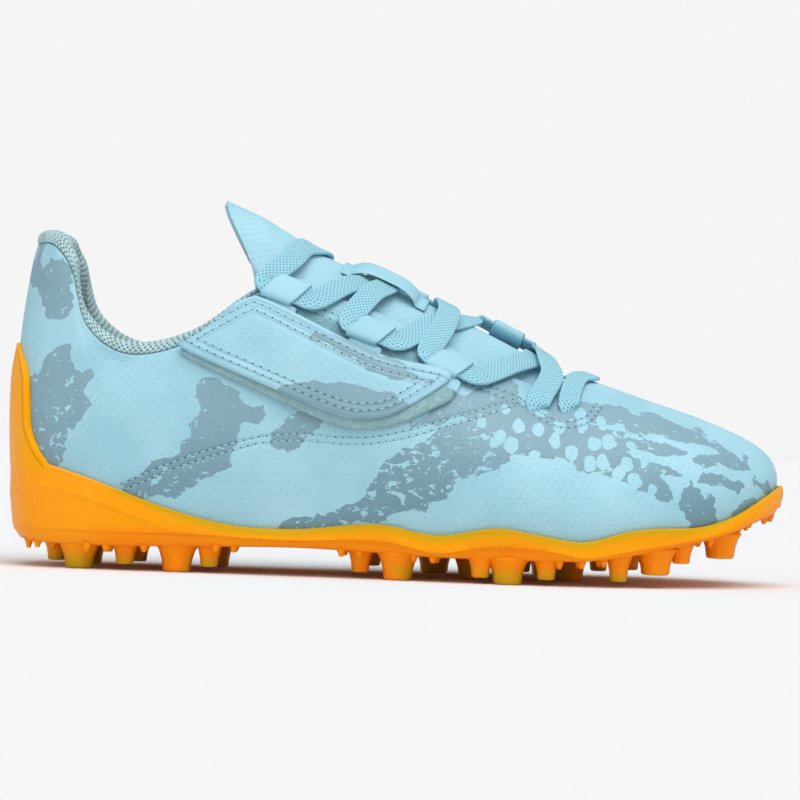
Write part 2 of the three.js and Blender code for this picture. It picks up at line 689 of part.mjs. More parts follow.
function sleeve({ point, along, up, out }) {
  const outline = (height, depth) => {
    const bevel = depth * SLEEVE_BEVEL;
    const quarter = [
      [height / 2, depth / 2 - bevel],
      [height / 2 - bevel, depth / 2],
    ];
    const half = [...quarter, ...quarter.toReversed().map(([x, y]) => [-x, y])];
    return [...half, ...half.map(([x, y]) => [-x, -y])].map(([x, y]) => new THREE.Vector2(x, y));
  };
  const shape = new THREE.Shape(outline(SLEEVE_HEIGHT, SLEEVE_DEPTH));
  const inside = outline(SLEEVE_HEIGHT - 2 * WEBBING, SLEEVE_DEPTH - 2 * WEBBING);
  shape.holes.push(new THREE.Path(inside));
  const band = new THREE.ExtrudeGeometry(shape, { depth: LOOP_WIDTH, bevelEnabled: false });
  band.translate(0, 0, -LOOP_WIDTH / 2);
  band.applyMatrix4(new THREE.Matrix4().makeBasis(up, out, along).setPosition(point));
  return solidFrom(band);
}

// Near loops stand on the wing's upper edge: the place of each sleeve's middle, as shares of
// the length and the heel height.
const NEAR_LOOPS = [
  { x: -0.149, z: 0.835 },
  { x: -0.041, z: 0.72 },
  { x: 0.058, z: 0.626 },
];
const LOOP_LEAN = -0.38; // slope of the wing's upper edge

const nearFrames = NEAR_LOOPS.map(({ x, z }) => {
  const { turn, rise } = lateralSite(x * LENGTH, z * HEEL_HEIGHT);
  const { out } = skinFrame(turn, rise);
  const edge = new THREE.Vector3(1, 0, LOOP_LEAN);
  const along = edge.addScaledVector(out, -edge.dot(out)).normalize();
  const up = new THREE.Vector3().crossVectors(out, along).normalize();
  return { point: skinPoint(turn, rise).addScaledVector(out, LOOP_LIFT), along, up, out };
});

// Far loops come over the tongue from the inner side: places on the tongue, and the turn of
// the inner edge that each tail is sewn to.
const FAR_LOOPS = [
  { place: 0.66, across: 0.635, turn: 18.65 },
  { place: 0.525, across: 0.625, turn: 17.8 },
  { place: 0.35, across: 0.59, turn: 16.4 },
];

const farFrames = FAR_LOOPS.map(({ place, across, turn }) => {
  const { back, out } = tongueFrame(place, across);
  const up = new THREE.Vector3().crossVectors(out, back).normalize();
  const point = tonguePoint(place, across).addScaledVector(out, LOOP_LIFT);
  return { turn, point, along: back, up, out };
});

// The tail goes straight on from the sleeve and over the edge: the place up the rib and the
// height over the upper, in thicknesses of the webbing.
const TAIL_SUNK = 0.4; // how much of the webbing its middle starts inside the sleeve
const TAIL_STRAIGHT = 1.2; // how far it goes straight on
const TAIL_ROOT = [
  { rise: 1, lift: 4.4 },
  { rise: 0.93, lift: 2.4 },
  { rise: 0.86, lift: 1.6 },
];

function farLoop({ point, along, up, out, turn }) {
  const below = (distance) => ({ point: point.clone().addScaledVector(up, -distance), out });
  const root = ({ rise, lift }) => ({
    point: skin(turn, rise, lift * WEBBING),
    out: skinFrame(turn, rise).out,
  });
  const sites = [
    below(SLEEVE_HEIGHT / 2 - WEBBING * TAIL_SUNK),
    below(SLEEVE_HEIGHT / 2 + TAIL_STRAIGHT),
    ...TAIL_ROOT.map(root),
  ];
  const tail = ribbon(sites, LOOP_WIDTH, WEBBING, TAIL_STEPS);
  return sleeve({ point, along, up, out }).add(tail);
}

// The lace: straight stubs inside the loops, and runs over the tongue between them.
const STUB = LOOP_WIDTH / 2 + LACE_WIDTH * 0.76; // from a loop's middle to where its lace turns off
const HOLE_LIFT = 3 * CLEARANCE; // of the lace's end over the hole that it goes down through

// The two holes at the front of each edge of the throat.
const HOLE_HEIGHT = 0.528 * HEEL_HEIGHT;
const REAR_HOLE = lateralSite(0.171 * LENGTH, HOLE_HEIGHT);
const FRONT_HOLE = lateralSite(0.211 * LENGTH, HOLE_HEIGHT);

// A run goes from one loop or hole to another over the tongue: side is the end of the loop, 1
// toward the toe. In between it has a few places: how far along the tongue, how far across it
// and how high the lace's underside lies over it.
const LACE_RUNS = [
  {
    from: { hole: "inner" },
    over: [[0.26, 0.7, 3.8], [0.275, 0.55, 1.2], [0.3, 0.42, 1.2], [0.37, 0.3, 3.6]],
    to: { near: 3, side: 1 },
  },
  {
    from: { near: 3, side: -1 },
    over: [[0.52, 0.3, 4], [0.485, 0.42, 2.6], [0.48, 0.52, 2]],
    to: { far: 2, side: 1 },
  },
  {
    from: { far: 2, side: -1 },
    over: [[0.585, 0.52, 1.4], [0.6, 0.42, 1.2], [0.655, 0.31, 3.6]],
    to: { near: 1, side: 1 },
  },
  {
    from: { near: 1, side: -1 },
    over: [[0.875, 0.33, 4.2], [0.8, 0.42, 1.4], [0.72, 0.54, 1.4]],
    to: { far: 1, side: -1 },
  },
  {
    from: { far: 1, side: 1 },
    over: [[0.572, 0.53, 1.6], [0.575, 0.42, 1.2], [0.63, 0.3, 3.8]],
    to: { near: 2, side: -1 },
  },
  {
    from: { near: 2, side: 1 },
    over: [[0.51, 0.3, 3.8], [0.46, 0.42, 1.2], [0.43, 0.52, 1.4]],
    to: { far: 3, side: -1 },
  },
  {
    from: { far: 3, side: 1 },
    over: [[0.26, 0.5, 2.2], [0.28, 0.38, 2.6], [0.3, 0.29, 4]],
    to: { hole: "outer" },
  },
];

// Where the lace's middle lies, and the direction out of it, at a place on the upper, at the
// end of a loop's stub and over the tongue.
const onUpper = (turn, rise, lift) => ({
  point: skin(turn, rise, lift + LACE_THICKNESS / 2),
  out: skinFrame(turn, rise).out,
});
const atHole = ({ turn, rise }, side) =>
  onUpper(side === "inner" ? RIB_COUNT - turn : turn, rise, HOLE_LIFT);
const stubEnd = ({ point, along, out }, side) => ({
  point: point.clone().addScaledVector(along, Math.sign(along.x) * side * STUB),
  out,
});
const overTongue = ([along, across, lift]) => ({
  point: onTongue(along, across, lift + LACE_THICKNESS / 2),
  out: tongueFrame(along, across).out,
});
const runEnd = ({ hole, near, far, side }) => {
  if (hole) return atHole(REAR_HOLE, hole);
  return stubEnd(near ? nearFrames[near - 1] : farFrames[far - 1], side);
};

function lace() {
  const runs = LACE_RUNS.map(({ from, over, to }) =>
    ribbon([runEnd(from), ...over.map(overTongue), runEnd(to)], LACE_WIDTH, LACE_THICKNESS, LACE_STEPS),
  );
  const stubs = [...nearFrames, ...farFrames].map((frame) =>
    ribbon([stubEnd(frame, -1), stubEnd(frame, 1)], LACE_WIDTH, LACE_THICKNESS, 1),
  );
  return [...runs, ...stubs].reduce((sum, one) => sum.add(one));
}

// The lace's front bar goes from the front hole over the vamp's front edge to the other side:
// its places as shares of the turns from the hole to the toe, how far up the ribs it lies and
// its width as a share of the lace's, which is drawn in there.
const BAR_PLACES = [0.33, 0.67, 1, 1.33, 1.67];
const BAR_RISE = 0.972;
const BAR_WIDTH = 0.8;

function laceBar() {
  const turns = TOE_RIB - FRONT_HOLE.turn;
  const sites = BAR_PLACES.map((share) =>
    onUpper(FRONT_HOLE.turn + turns * share, BAR_RISE, 2 * CLEARANCE),
  );
  return ribbon(
    [atHole(FRONT_HOLE, "outer"), ...sites, atHole(FRONT_HOLE, "inner")],
    LACE_WIDTH * BAR_WIDTH,
    LACE_THICKNESS,
    LACE_STEPS,
  );
}

// The keeper is a strip stitched to the tongue at both ends, arched over the lace. along is its
// place on the tongue, lift the height of its underside.
const KEEPER_ACROSS = 0.44;
const KEEPER_WIDTH = 8;
const KEEPER_THICKNESS = 1;
const KEEPER_LINE = [
  { along: 0.655, lift: 0.4 },
  { along: 0.648, lift: 1.6 },
  { along: 0.63, lift: 3.1 },
  { along: 0.555, lift: 3.1 },
  { along: 0.535, lift: 1.6 },
  { along: 0.528, lift: 0.4 },
];
const tongueKeeper = () =>
  ribbon(
    KEEPER_LINE.map(({ along, lift }) => ({
      point: onTongue(along, KEEPER_ACROSS, lift + KEEPER_THICKNESS / 2),
      out: tongueFrame(along, KEEPER_ACROSS).out,
    })),
    KEEPER_WIDTH,
    KEEPER_THICKNESS,
    LACE_STEPS,
  );

const material = (color, roughness) => new THREE.MeshStandardMaterial({ color, roughness, metalness: 0 });
const SYNTHETIC = material(0xa5d6e4, 0.5);
const SYNTHETIC_GREY = material(0x7098a6, 0.6);
const KNIT = material(0x9fb7b4, 0.9);
const MOULDING = material(0xff9a1a, 0.4);
const CAP = material(0xffac12, 0.35);
const FOAM = material(0x8fa3a6, 0.9);

function mesh(name, solid, look) {
  const { vertProperties, triVerts } = solid.getMesh();
  const geometry = new THREE.BufferGeometry();
  geometry.setAttribute("position", new THREE.BufferAttribute(vertProperties, 3));
  geometry.setIndex(new THREE.BufferAttribute(triVerts, 1));
  geometry.computeVertexNormals();
  const made = new THREE.Mesh(geometry, look.clone());
  made.name = name;
  return made;
}

const shoe = new THREE.Group();
shoe.add(mesh("outsole", outsole(), MOULDING));
shoe.add(mesh("upper", upper(), SYNTHETIC));
shoe.add(mesh("insole", insole(), FOAM));
shoe.add(mesh("heel_cap", heelCap(), CAP));
shoe.add(mesh("collar", collar(), KNIT));
shoe.add(mesh("tongue", tongue(), SYNTHETIC));
shoe.add(mesh("strap_base", strapBase(), SYNTHETIC_GREY));
shoe.add(mesh("strap", strap(), SYNTHETIC));
nearFrames.forEach((frame, k) => shoe.add(mesh(`near_loop_${k + 1}`, sleeve(frame), SYNTHETIC)));
farFrames.forEach((frame, k) => shoe.add(mesh(`far_loop_${k + 1}`, farLoop(frame), SYNTHETIC)));
shoe.add(mesh("lace", lace(), SYNTHETIC));
shoe.add(mesh("lace_bar", laceBar(), SYNTHETIC));
shoe.add(mesh("tongue_keeper", tongueKeeper(), SYNTHETIC));

export default shoe;
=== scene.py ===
# %% [markdown]
# # A child's football shoe, dressed
#
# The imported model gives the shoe's solids with plain faces. This lesson dresses them: each
# piece is made again from the same sizes and the same surfaces, only finer, and then gets its
# fabric, moulding, seams and print. The shoe's surfaces are worked out in millimetres and put
# into Blender in metres.

import math

import bmesh
import bpy
import numpy as np
from mathutils import Matrix, Vector


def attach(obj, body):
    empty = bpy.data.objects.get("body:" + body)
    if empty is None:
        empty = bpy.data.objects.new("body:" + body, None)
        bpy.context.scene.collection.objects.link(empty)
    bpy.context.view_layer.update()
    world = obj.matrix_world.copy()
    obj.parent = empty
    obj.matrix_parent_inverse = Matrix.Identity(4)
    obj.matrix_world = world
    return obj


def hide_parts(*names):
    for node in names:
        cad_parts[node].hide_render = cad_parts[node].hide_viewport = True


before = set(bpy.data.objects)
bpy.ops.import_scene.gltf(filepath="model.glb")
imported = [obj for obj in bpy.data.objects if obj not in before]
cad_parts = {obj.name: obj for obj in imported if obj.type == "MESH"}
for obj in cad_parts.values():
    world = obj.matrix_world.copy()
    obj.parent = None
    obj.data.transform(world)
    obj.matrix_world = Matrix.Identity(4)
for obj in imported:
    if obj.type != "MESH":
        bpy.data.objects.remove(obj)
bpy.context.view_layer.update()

# %% [markdown]
# ## Sizes
# A shoemaker works from the last's sizes. These are the same named sizes as the solids have,
# in millimetres, so every finer piece lands exactly on the solid that it stands for.

# %% Sizes of the last, the sole and the pieces
MM = 0.001
LENGTH = 226
BALL_WIDTH = 84
HEEL_HEIGHT = 96
INSTEP_HEIGHT = 82.5
VAMP_HEIGHT = 59
TONGUE_HEIGHT = 105
CUP_HEIGHT = 30
PLATE = 3
LIP = 1.5
BAND = 2.9
STEP = 1.1
STUD_HEIGHT = 6.8
WALL = 1.8
CLEARANCE = 0.3
CAP_THICKNESS = 1.5
CAP_TOP = 64
COLLAR_ROLL = 4.2
COLLAR_PAD = 3.4
INSOLE = 3
TONGUE = 1.8
STRAP_BASE = 1.7
STRAP = 1.5
LACE_WIDTH = 7
LACE_THICKNESS = 1.2
WEBBING = 0.7
LOOP_WIDTH = 9.5
SIDE_VIEW = np.array([LENGTH, HEEL_HEIGHT])  # places in the side view are shares of these two
print("the shoe is", LENGTH, "mm long,", BALL_WIDTH, "mm wide and", TONGUE_HEIGHT, "mm high")

# %% [markdown]
# ## The upper's ribs
# A last could be sculpted by hand or lofted through sections. Here 26 ribs stand round the
# foot, counted from the heel centre along the outer side to the toe and back along the inner
# side. Each rib is a curve with two handles, and smooth rings run through the ribs. One such
# surface then serves the upper and all that lies on it.

# %% Ribs and rings
RIBS = [
    # foot x, foot y, rim x, rim y, rim height, of which size, low out, low up, high out, high down
    (-0.48, 0.0, -0.472, 0.0, 0.965, HEEL_HEIGHT, 0.05, 0.29, 0.055, 0.23),
    (-0.455, -0.21, -0.446, -0.17, 0.96, HEEL_HEIGHT, 0.055, 0.29, 0.055, 0.22),
    (-0.38, -0.295, -0.42, -0.235, 0.885, HEEL_HEIGHT, 0.055, 0.27, 0.055, 0.2),
    (-0.3, -0.315, -0.397, -0.28, 0.72, HEEL_HEIGHT, 0.055, 0.24, 0.045, 0.16),
    (-0.225, -0.32, -0.342, -0.305, 0.64, HEEL_HEIGHT, 0.055, 0.22, 0.035, 0.13),
    (-0.15, -0.33, -0.262, -0.287, 0.69, HEEL_HEIGHT, 0.055, 0.23, 0.055, 0.15),
    (-0.075, -0.35, -0.177, -0.238, 0.985, INSTEP_HEIGHT, 0.06, 0.25, 0.09, 0.17),
    (0.0, -0.387, -0.112, -0.214, 0.985, INSTEP_HEIGHT, 0.07, 0.25, 0.13, 0.16),
    (0.08, -0.43, -0.013, -0.208, 0.9, INSTEP_HEIGHT, 0.08, 0.23, 0.15, 0.15),
    (0.168, -0.455, 0.088, -0.196, 1.085, VAMP_HEIGHT, 0.085, 0.21, 0.17, 0.13),
    (0.261, -0.435, 0.173, -0.167, 0.957, VAMP_HEIGHT, 0.085, 0.17, 0.19, 0.1),
    (0.354, -0.35, 0.213, -0.095, 0.99, VAMP_HEIGHT, 0.08, 0.14, 0.26, 0.09),
    (0.436, -0.195, 0.224, -0.03, 1.01, VAMP_HEIGHT, 0.08, 0.17, 0.38, 0.125),
    (0.4835, 0.048, 0.227, 0.036, 1.015, VAMP_HEIGHT, 0.082, 0.2, 0.45, 0.15),
    (0.458, 0.245, 0.22, 0.101, 1.005, VAMP_HEIGHT, 0.08, 0.17, 0.4, 0.135),
    (0.389, 0.38, 0.2, 0.173, 0.97, VAMP_HEIGHT, 0.08, 0.14, 0.29, 0.1),
    (0.301, 0.446, 0.146, 0.214, 1.025, VAMP_HEIGHT, 0.085, 0.17, 0.2, 0.1),
    (0.204, 0.452, 0.062, 0.226, 1.155, VAMP_HEIGHT, 0.085, 0.2, 0.18, 0.12),
    (0.106, 0.411, -0.035, 0.226, 0.93, INSTEP_HEIGHT, 0.075, 0.22, 0.16, 0.14),
    (0.013, 0.339, -0.119, 0.226, 0.99, INSTEP_HEIGHT, 0.06, 0.24, 0.13, 0.15),
    (-0.071, 0.3, -0.18, 0.238, 0.985, INSTEP_HEIGHT, 0.05, 0.24, 0.09, 0.16),
    (-0.15, 0.287, -0.261, 0.277, 0.69, HEEL_HEIGHT, 0.045, 0.22, 0.055, 0.14),
    (-0.226, 0.29, -0.336, 0.29, 0.645, HEEL_HEIGHT, 0.045, 0.21, 0.035, 0.12),
    (-0.305, 0.298, -0.395, 0.268, 0.725, HEEL_HEIGHT, 0.045, 0.23, 0.045, 0.15),
    (-0.385, 0.282, -0.42, 0.224, 0.885, HEEL_HEIGHT, 0.05, 0.26, 0.055, 0.19),
    (-0.455, 0.2, -0.446, 0.162, 0.96, HEEL_HEIGHT, 0.055, 0.29, 0.055, 0.22),
]
RIB_COUNT = len(RIBS)
TOE_RIB = RIB_COUNT / 2
SIDE = [
    # place along the length, rim's top, band's lower edge, plate's underside, in cup heights
    (-0.495, 0.87, 0.43, 0.25),
    (-0.446, 0.99, 0.42, 0.235),
    (-0.392, 0.9, 0.41, 0.23),
    (-0.345, 0.78, 0.405, 0.23),
    (-0.271, 0.585, 0.4, 0.245),
    (-0.2, 0.47, 0.355, 0.26),
    (-0.12, 0.46, 0.34, 0.27),
    (-0.02, 0.53, 0.38, 0.25),
    (0.055, 0.45, 0.27, 0.23),
    (0.13, 0.535, 0.38, 0.23),
    (0.19, 0.47, 0.33, 0.23),
    (0.235, 0.435, 0.265, 0.24),
    (0.288, 0.54, 0.34, 0.29),
    (0.324, 0.575, 0.39, 0.345),
    (0.38, 0.6, 0.475, 0.44),
    (0.422, 0.7, 0.57, 0.53),
    (0.467, 0.91, 0.73, 0.66),
    (0.5, 1.06, 0.83, 0.74),
]


def read_table(rows, column, at):
    """A smooth line through the rows of a table, read at one or many places."""
    where = np.array([row[0] for row in rows])
    value = np.array([row[column] for row in rows])
    order = np.arange(len(rows))
    before, after = np.maximum(order - 1, 0), np.minimum(order + 1, len(rows) - 1)
    slope = (value[after] - value[before]) / (where[after] - where[before])
    at = np.clip(at, where[0], where[-1])
    k = np.clip(np.searchsorted(where, at, side="right") - 1, 0, len(rows) - 2)
    span = where[k + 1] - where[k]
    t = (at - where[k]) / span
    ease = t * t * (3 - 2 * t)
    bend = slope[k] * t * (1 - t) ** 2 - slope[k + 1] * t * t * (1 - t)
    return value[k] * (1 - ease) + value[k + 1] * ease + span * bend


def side_height(column, x):
    return CUP_HEIGHT * read_table(SIDE, column, np.asarray(x) / LENGTH)


def floor_height(x):
    return side_height(3, x) + PLATE


def smooth_ring(points):
    """A closed curve through points, read at one or many turns."""
    points = np.array(points, float)
    slopes = (np.roll(points, -1, 0) - np.roll(points, 1, 0)) / 2

    def at(turn):
        turn = np.asarray(turn, float) % len(points)
        k = np.floor(turn).astype(int) % len(points)
        n = (k + 1) % len(points)
        t = (turn - np.floor(turn))[..., None]
        ease = t * t * (3 - 2 * t)
        bend = slopes[k] * t * (1 - t) ** 2 - slopes[n] * t * t * (1 - t)
        return points[k] * (1 - ease) + points[n] * ease + bend

    return at


def unit(vectors):
    return vectors / np.maximum(np.linalg.norm(vectors, axis=-1, keepdims=True), 1e-9)


NUDGE = 1e-3  # a short way along a curve, which gives its direction
HALVINGS = 24  # enough to find a place within a thousandth of a millimetre


def ring_outward(ring, turn):
    """The level direction out of a ring."""
    nudge = NUDGE * RIB_COUNT
    along = ring(np.asarray(turn) + nudge) - ring(np.asarray(turn) - nudge)
    return unit(np.stack([along[..., 1], -along[..., 0], 0 * along[..., 0]], -1))


ribs = np.array(RIBS, float)
every_rib = np.arange(RIB_COUNT)
foot_x = ribs[:, 0] * LENGTH
foot_z = floor_height(foot_x) + CLEARANCE
foot_ring = smooth_ring(np.stack([foot_x, ribs[:, 1] * BALL_WIDTH, foot_z], -1))
rim_z = ribs[:, 4] * ribs[:, 5]
rim_ring = smooth_ring(np.stack([ribs[:, 2] * LENGTH, ribs[:, 3] * BALL_WIDTH, rim_z], -1))


def handle_ring(ring, out, up):
    """The ribs' handles: out of a ring and up from it, in shares of the heel height."""
    points = ring(every_rib) + ring_outward(ring, every_rib) * out[:, None] * HEEL_HEIGHT
    ups = up * HEEL_HEIGHT
    return smooth_ring(points + np.stack([0 * ups, 0 * ups, ups], -1))


low_ring = handle_ring(foot_ring, ribs[:, 6], ribs[:, 7])
high_ring = handle_ring(rim_ring, ribs[:, 8], -ribs[:, 9])


def skin_point(turn, rise):
    """A point of the upper's outer face: rise goes from 0 at the foot to 1 at the edge."""
    rise = np.asarray(rise, float)[..., None]
    ends = foot_ring(turn) * (1 - rise) ** 3 + rim_ring(turn) * rise**3
    return ends + 3 * rise * (1 - rise) * (low_ring(turn) * (1 - rise) + high_ring(turn) * rise)


def skin_frame(turn, rise):
    """Along the ring, up the rib and out of the face."""
    turn, rise = np.asarray(turn, float), np.asarray(rise, float)
    nudge = NUDGE * RIB_COUNT
    along = unit(skin_point(turn + nudge, rise) - skin_point(turn - nudge, rise))
    above, below = np.minimum(rise + NUDGE, 1), np.maximum(rise - NUDGE, 0)
    up = unit(skin_point(turn, above) - skin_point(turn, below))
    return along, up, unit(np.cross(along, up))


def skin(turn, rise, distance=0.0):
    out = skin_frame(turn, rise)[2]
    return skin_point(turn, rise) + out * np.asarray(distance, float)[..., None]


def halved(low, high, too_low):
    """Halves the span from low to high towards the place where too_low stops being true."""
    for _ in range(HALVINGS):
        middle = (low + high) / 2
        short = too_low(middle)
        low, high = np.where(short, middle, low), np.where(short, high, middle)
    return low, high


def rise_at_height(turn, height):
    shape = np.broadcast(turn, height).shape
    is_below = lambda rise: skin_point(turn, rise)[..., 2] < height
    low, high = halved(np.zeros(shape), np.ones(shape), is_below)
    return (low + high) / 2


def outer_site(x, z):
    """The turn and rise on the outer side that are seen at a length and a height."""
    x, z = np.asarray(x, float), np.asarray(z, float)
    shape = np.broadcast(x, z).shape
    is_behind = lambda turn: skin_point(turn, rise_at_height(turn, z))[..., 0] < x
    turn, _ = halved(np.full(shape, 1.5), np.full(shape, TOE_RIB - 0.5), is_behind)
    return turn, rise_at_height(turn, z)


print("the outer face at the ball lies at", np.round(skin_point(9.0, 0.3), 1), "mm")

# %% [markdown]
# ## Open curves
# The tongue and the lace follow open curves through a few places. A curve that spaces its
# speed by the distance between its points stays free of loops where they lie unevenly.


# %% Curves through places
def open_curve(points, t, even=False):
    """Points on the curve through points (n, 3), or through one set of points for each t."""
    points, t = np.asarray(points, float), np.asarray(t, float)
    if points.ndim == 2:
        points = np.broadcast_to(points, (*t.shape, *points.shape))
    count = points.shape[-2]
    before = 2 * points[..., :1, :] - points[..., 1:2, :]
    after = 2 * points[..., -1:, :] - points[..., -2:-1, :]
    held = np.concatenate([before, points, after], -2)
    k = np.clip(np.floor(t * (count - 1)).astype(int), 0, count - 2)
    w = (t * (count - 1) - k)[..., None]
    p = [np.take_along_axis(held, (k + n)[..., None, None], -2)[..., 0, :] for n in range(4)]
    if even:
        first, second = (p[2] - p[0]) / 2, (p[3] - p[1]) / 2
    else:
        gaps = [np.linalg.norm(p[n + 1] - p[n], axis=-1, keepdims=True) for n in range(3)]
        d = [np.maximum(gap, 1e-6) ** 0.5 for gap in gaps]
        first = (p[1] - p[0]) / d[0] - (p[2] - p[0]) / (d[0] + d[1]) + (p[2] - p[1]) / d[1]
        second = (p[2] - p[1]) / d[1] - (p[3] - p[1]) / (d[1] + d[2]) + (p[3] - p[2]) / d[2]
        first, second = first * d[1], second * d[1]
    ease = w * w * (3 - 2 * w)
    return p[1] * (1 - ease) + p[2] * ease + first * w * (1 - w) ** 2 - second * w * w * (1 - w)


# %% [markdown]
# ## From a surface to a mesh
# Blender's own grid is the start of every skin here: its points are laid out flat, and each is
# then put where the surface says. Where the grid closes on itself, or ends in a point or a
# spine, its doubled points are merged, so seams and poles are closed. The flat layout is kept
# as the UV map, which fabrics follow.


# %% A grid laid on a surface
MERGED = 2e-6  # points nearer to each other than this, in metres, become one


def real_lengths(place, columns, rows, start):
    """Gives a layout whose two numbers are millimetres along the columns and the rows."""
    u, v = np.meshgrid(np.linspace(0, 1, columns + 1), np.linspace(0, 1, rows + 1), indexing="ij")
    points = place(u.ravel(), v.ravel()).reshape(columns + 1, rows + 1, 3)
    round_it = np.zeros((columns + 1, rows + 1))
    up_it = np.zeros((columns + 1, rows + 1))
    round_it[1:] = np.cumsum(np.linalg.norm(np.diff(points, axis=0), axis=-1), axis=0)
    up_it[:, 1:] = np.cumsum(np.linalg.norm(np.diff(points, axis=1), axis=-1), axis=1)
    round_it -= round_it[int(round(start * columns))]

    def lay(u, v):
        i, j = np.round(u * columns).astype(int), np.round(v * rows).astype(int)
        return np.stack([round_it[i, j], up_it[i, j]], -1)

    return lay


def laid_grid(
    name, columns, rows, place, size=(1.0, 1.0), flip=False, crease_angle=40, start=None
):
    """place takes arrays of u and v from 0 to 1 and gives points in millimetres.

    The flat layout is as large as size says. With a start, it has real lengths instead: each
    half of the columns is laid out from its own start, so neither is sheared.
    """
    form = bmesh.new()
    bmesh.ops.create_grid(form, x_segments=columns, y_segments=rows, size=0.5, calc_uvs=False)
    form.verts.ensure_lookup_table()
    form.verts.index_update()
    flat = np.array([v.co[:2] for v in form.verts]) + 0.5
    halves = [flat * size] * 2
    if start is not None:
        starts = (start, 1 - start)
        halves = [real_lengths(place, columns, rows, at)(flat[:, 0], flat[:, 1]) for at in starts]
    uv = form.loops.layers.uv.new("laid")
    for face in form.faces:
        laid = halves[np.mean([flat[v.index, 0] for v in face.verts]) > 0.5]
        for loop in face.loops:
            loop[uv].uv = laid[loop.vert.index]
    points = place(flat[:, 0], flat[:, 1]) * MM
    for vert, point in zip(form.verts, points):
        vert.co = point
    bmesh.ops.remove_doubles(form, verts=form.verts, dist=MERGED)
    if flip:
        bmesh.ops.reverse_faces(form, faces=form.faces)
    for face in form.faces:
        face.smooth = True
    sharp = math.radians(crease_angle)
    for edge in form.edges:
        if len(edge.link_faces) == 2 and edge.calc_face_angle(0) > sharp:
            edge.smooth = False
    return finished(name, form)


def finished(name, form):
    mesh = bpy.data.meshes.new(name)
    form.to_mesh(mesh)
    form.free()
    piece = bpy.data.objects.new(name, mesh)
    bpy.context.scene.collection.objects.link(piece)
    return piece


def outward_volume(piece):
    """The signed volume of a closed mesh, in cubic millimetres: above zero if faces point out."""
    form = bmesh.new()
    form.from_mesh(piece.data)
    volume = form.calc_volume(signed=True) / MM**3
    form.free()
    return volume


def dress(piece, slot, *nodes):
    """Hands a piece its body and the nodes that it stands for; the slot is not used."""
    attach(piece, "root")
    if nodes:
        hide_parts(*nodes)
    print(f"{piece.name}: {len(piece.data.polygons)} faces")
    return piece


def solidify(piece, thickness, inner_material=0):
    wall = piece.modifiers.new("wall", "SOLIDIFY")
    wall.thickness = thickness * MM
    wall.offset = -1.0
    wall.use_even_offset = True
    wall.material_offset = inner_material
    wall.material_offset_rim = 0
    return wall


def soften(piece, width):
    edge = piece.modifiers.new("edge", "BEVEL")
    edge.width = width * MM
    edge.segments = 3
    edge.limit_method = "ANGLE"
    edge.angle_limit = math.radians(35)
    edge.harden_normals = False
    return edge


# %% [markdown]
# ## The sole
# A stud plate like this one is injected in one shot: plate, side band, heel cup, toe bumper
# and studs. It could be a boolean of plates and cones. Here its side section runs round the
# shoe, and the floor and the underside close onto a spine in the middle, so it is one skin
# without long thin faces. The section's places are the solid's own, with more of them where
# the real edges are rounded.

# %% The plate and its side band
LIP_SECTION = [
    # share of the rim's height, how far out in lips and how far out in bands
    (0.5, 0, 0), (0.93, 0.0, 0), (1, 0.2, 0), (1.01, 0.6, 0), (0.985, 1, 0), (0.8, 0.8, 0.22),
    (0.6, 0.5, 0.5),
]
EDGE_SECTION = [
    # steps back from the band's face, share up to the foot, share down to the underside
    (0.1, 0.6, 0), (0, 0.3, 0), (0.02, 0.12, 0), (0.2, 0, 0), (0.6, 0, 0.04), (1, 0, 0.16),
    (1.15, 0, 0.4), (1.45, 0, 0.72), (2.1, 0, 0.9), (3.4, 0, 0.99), (4.6, 0, 1),
]
SPINE_STEPS = 7
SOLE_LAYOUT = (560, 60)  # the flat layout, in millimetres round the shoe and along the section


def sole_section(turn):
    """The section's points at many turns, from the floor's edge to the underside's."""
    foot = skin_point(turn, 0 * turn)
    outward = ring_outward(foot_ring, turn)
    step, under = side_height(2, foot[:, 0]), side_height(3, foot[:, 0])
    top = rise_at_height(turn, side_height(1, foot[:, 0]))

    def side(distance, height):
        point = foot + outward * np.asarray(distance)[..., None]
        point[:, 2] = height
        return point

    ledge = 0.25 + 0.75 * np.clip((foot[:, 0] / LENGTH + 0.33) / 0.15, 0, 1)
    section = [side(CLEARANCE, floor_height(foot[:, 0]))]
    for rise, lip, band in LIP_SECTION:
        section.append(skin(turn, top * rise, CLEARANCE + lip * LIP + band * BAND + 0 * turn))
    for back, up, down in EDGE_SECTION:
        behind = (back * ledge if back < 1.3 else back) * STEP
        section.append(side(BAND - behind, step + up * (foot[:, 2] - step) - down * (step - under)))
    return np.array(section)


def ring_with_spine(section_at, ends):
    """Wraps a section round the shoe and closes both its ends onto a spine."""
    probe = section_at(np.array([1.0]))
    rows = len(probe) - 1 + 2 * ends

    def place(u, v):
        turn = u * RIB_COUNT
        row = np.round(v * rows).astype(int)
        turns, where = np.unique(np.round(turn, 9), return_inverse=True)
        here, there = section_at(turns), section_at(RIB_COUNT - turns)
        k = np.clip(row - ends, 0, len(probe) - 1)
        inset = np.maximum(np.maximum(ends - row, row - ends - len(probe) + 1), 0) / ends
        point = here[k, where]
        middle = (here[k, where] + there[k, where]) / 2
        return point + (middle - point) * inset[:, None]

    return place, rows


place, rows = ring_with_spine(sole_section, SPINE_STEPS)
sole = laid_grid("outsole_moulding", RIB_COUNT * 12, rows, place, size=SOLE_LAYOUT, flip=True)
print("sole volume", round(outward_volume(sole)), "mm3")

# %% [markdown]
# ## The studs
# A stud could be a cone, but a moulded one flows into the plate in a wide flare and has a small
# round at its tip. So half its outline is drawn and spun round, and a few shallow lobes are
# pressed in. The places are the solid's. Low blunt grip nubs, too small for the solid, hang
# between them: small cones in two staggered lines along the plate's edge.

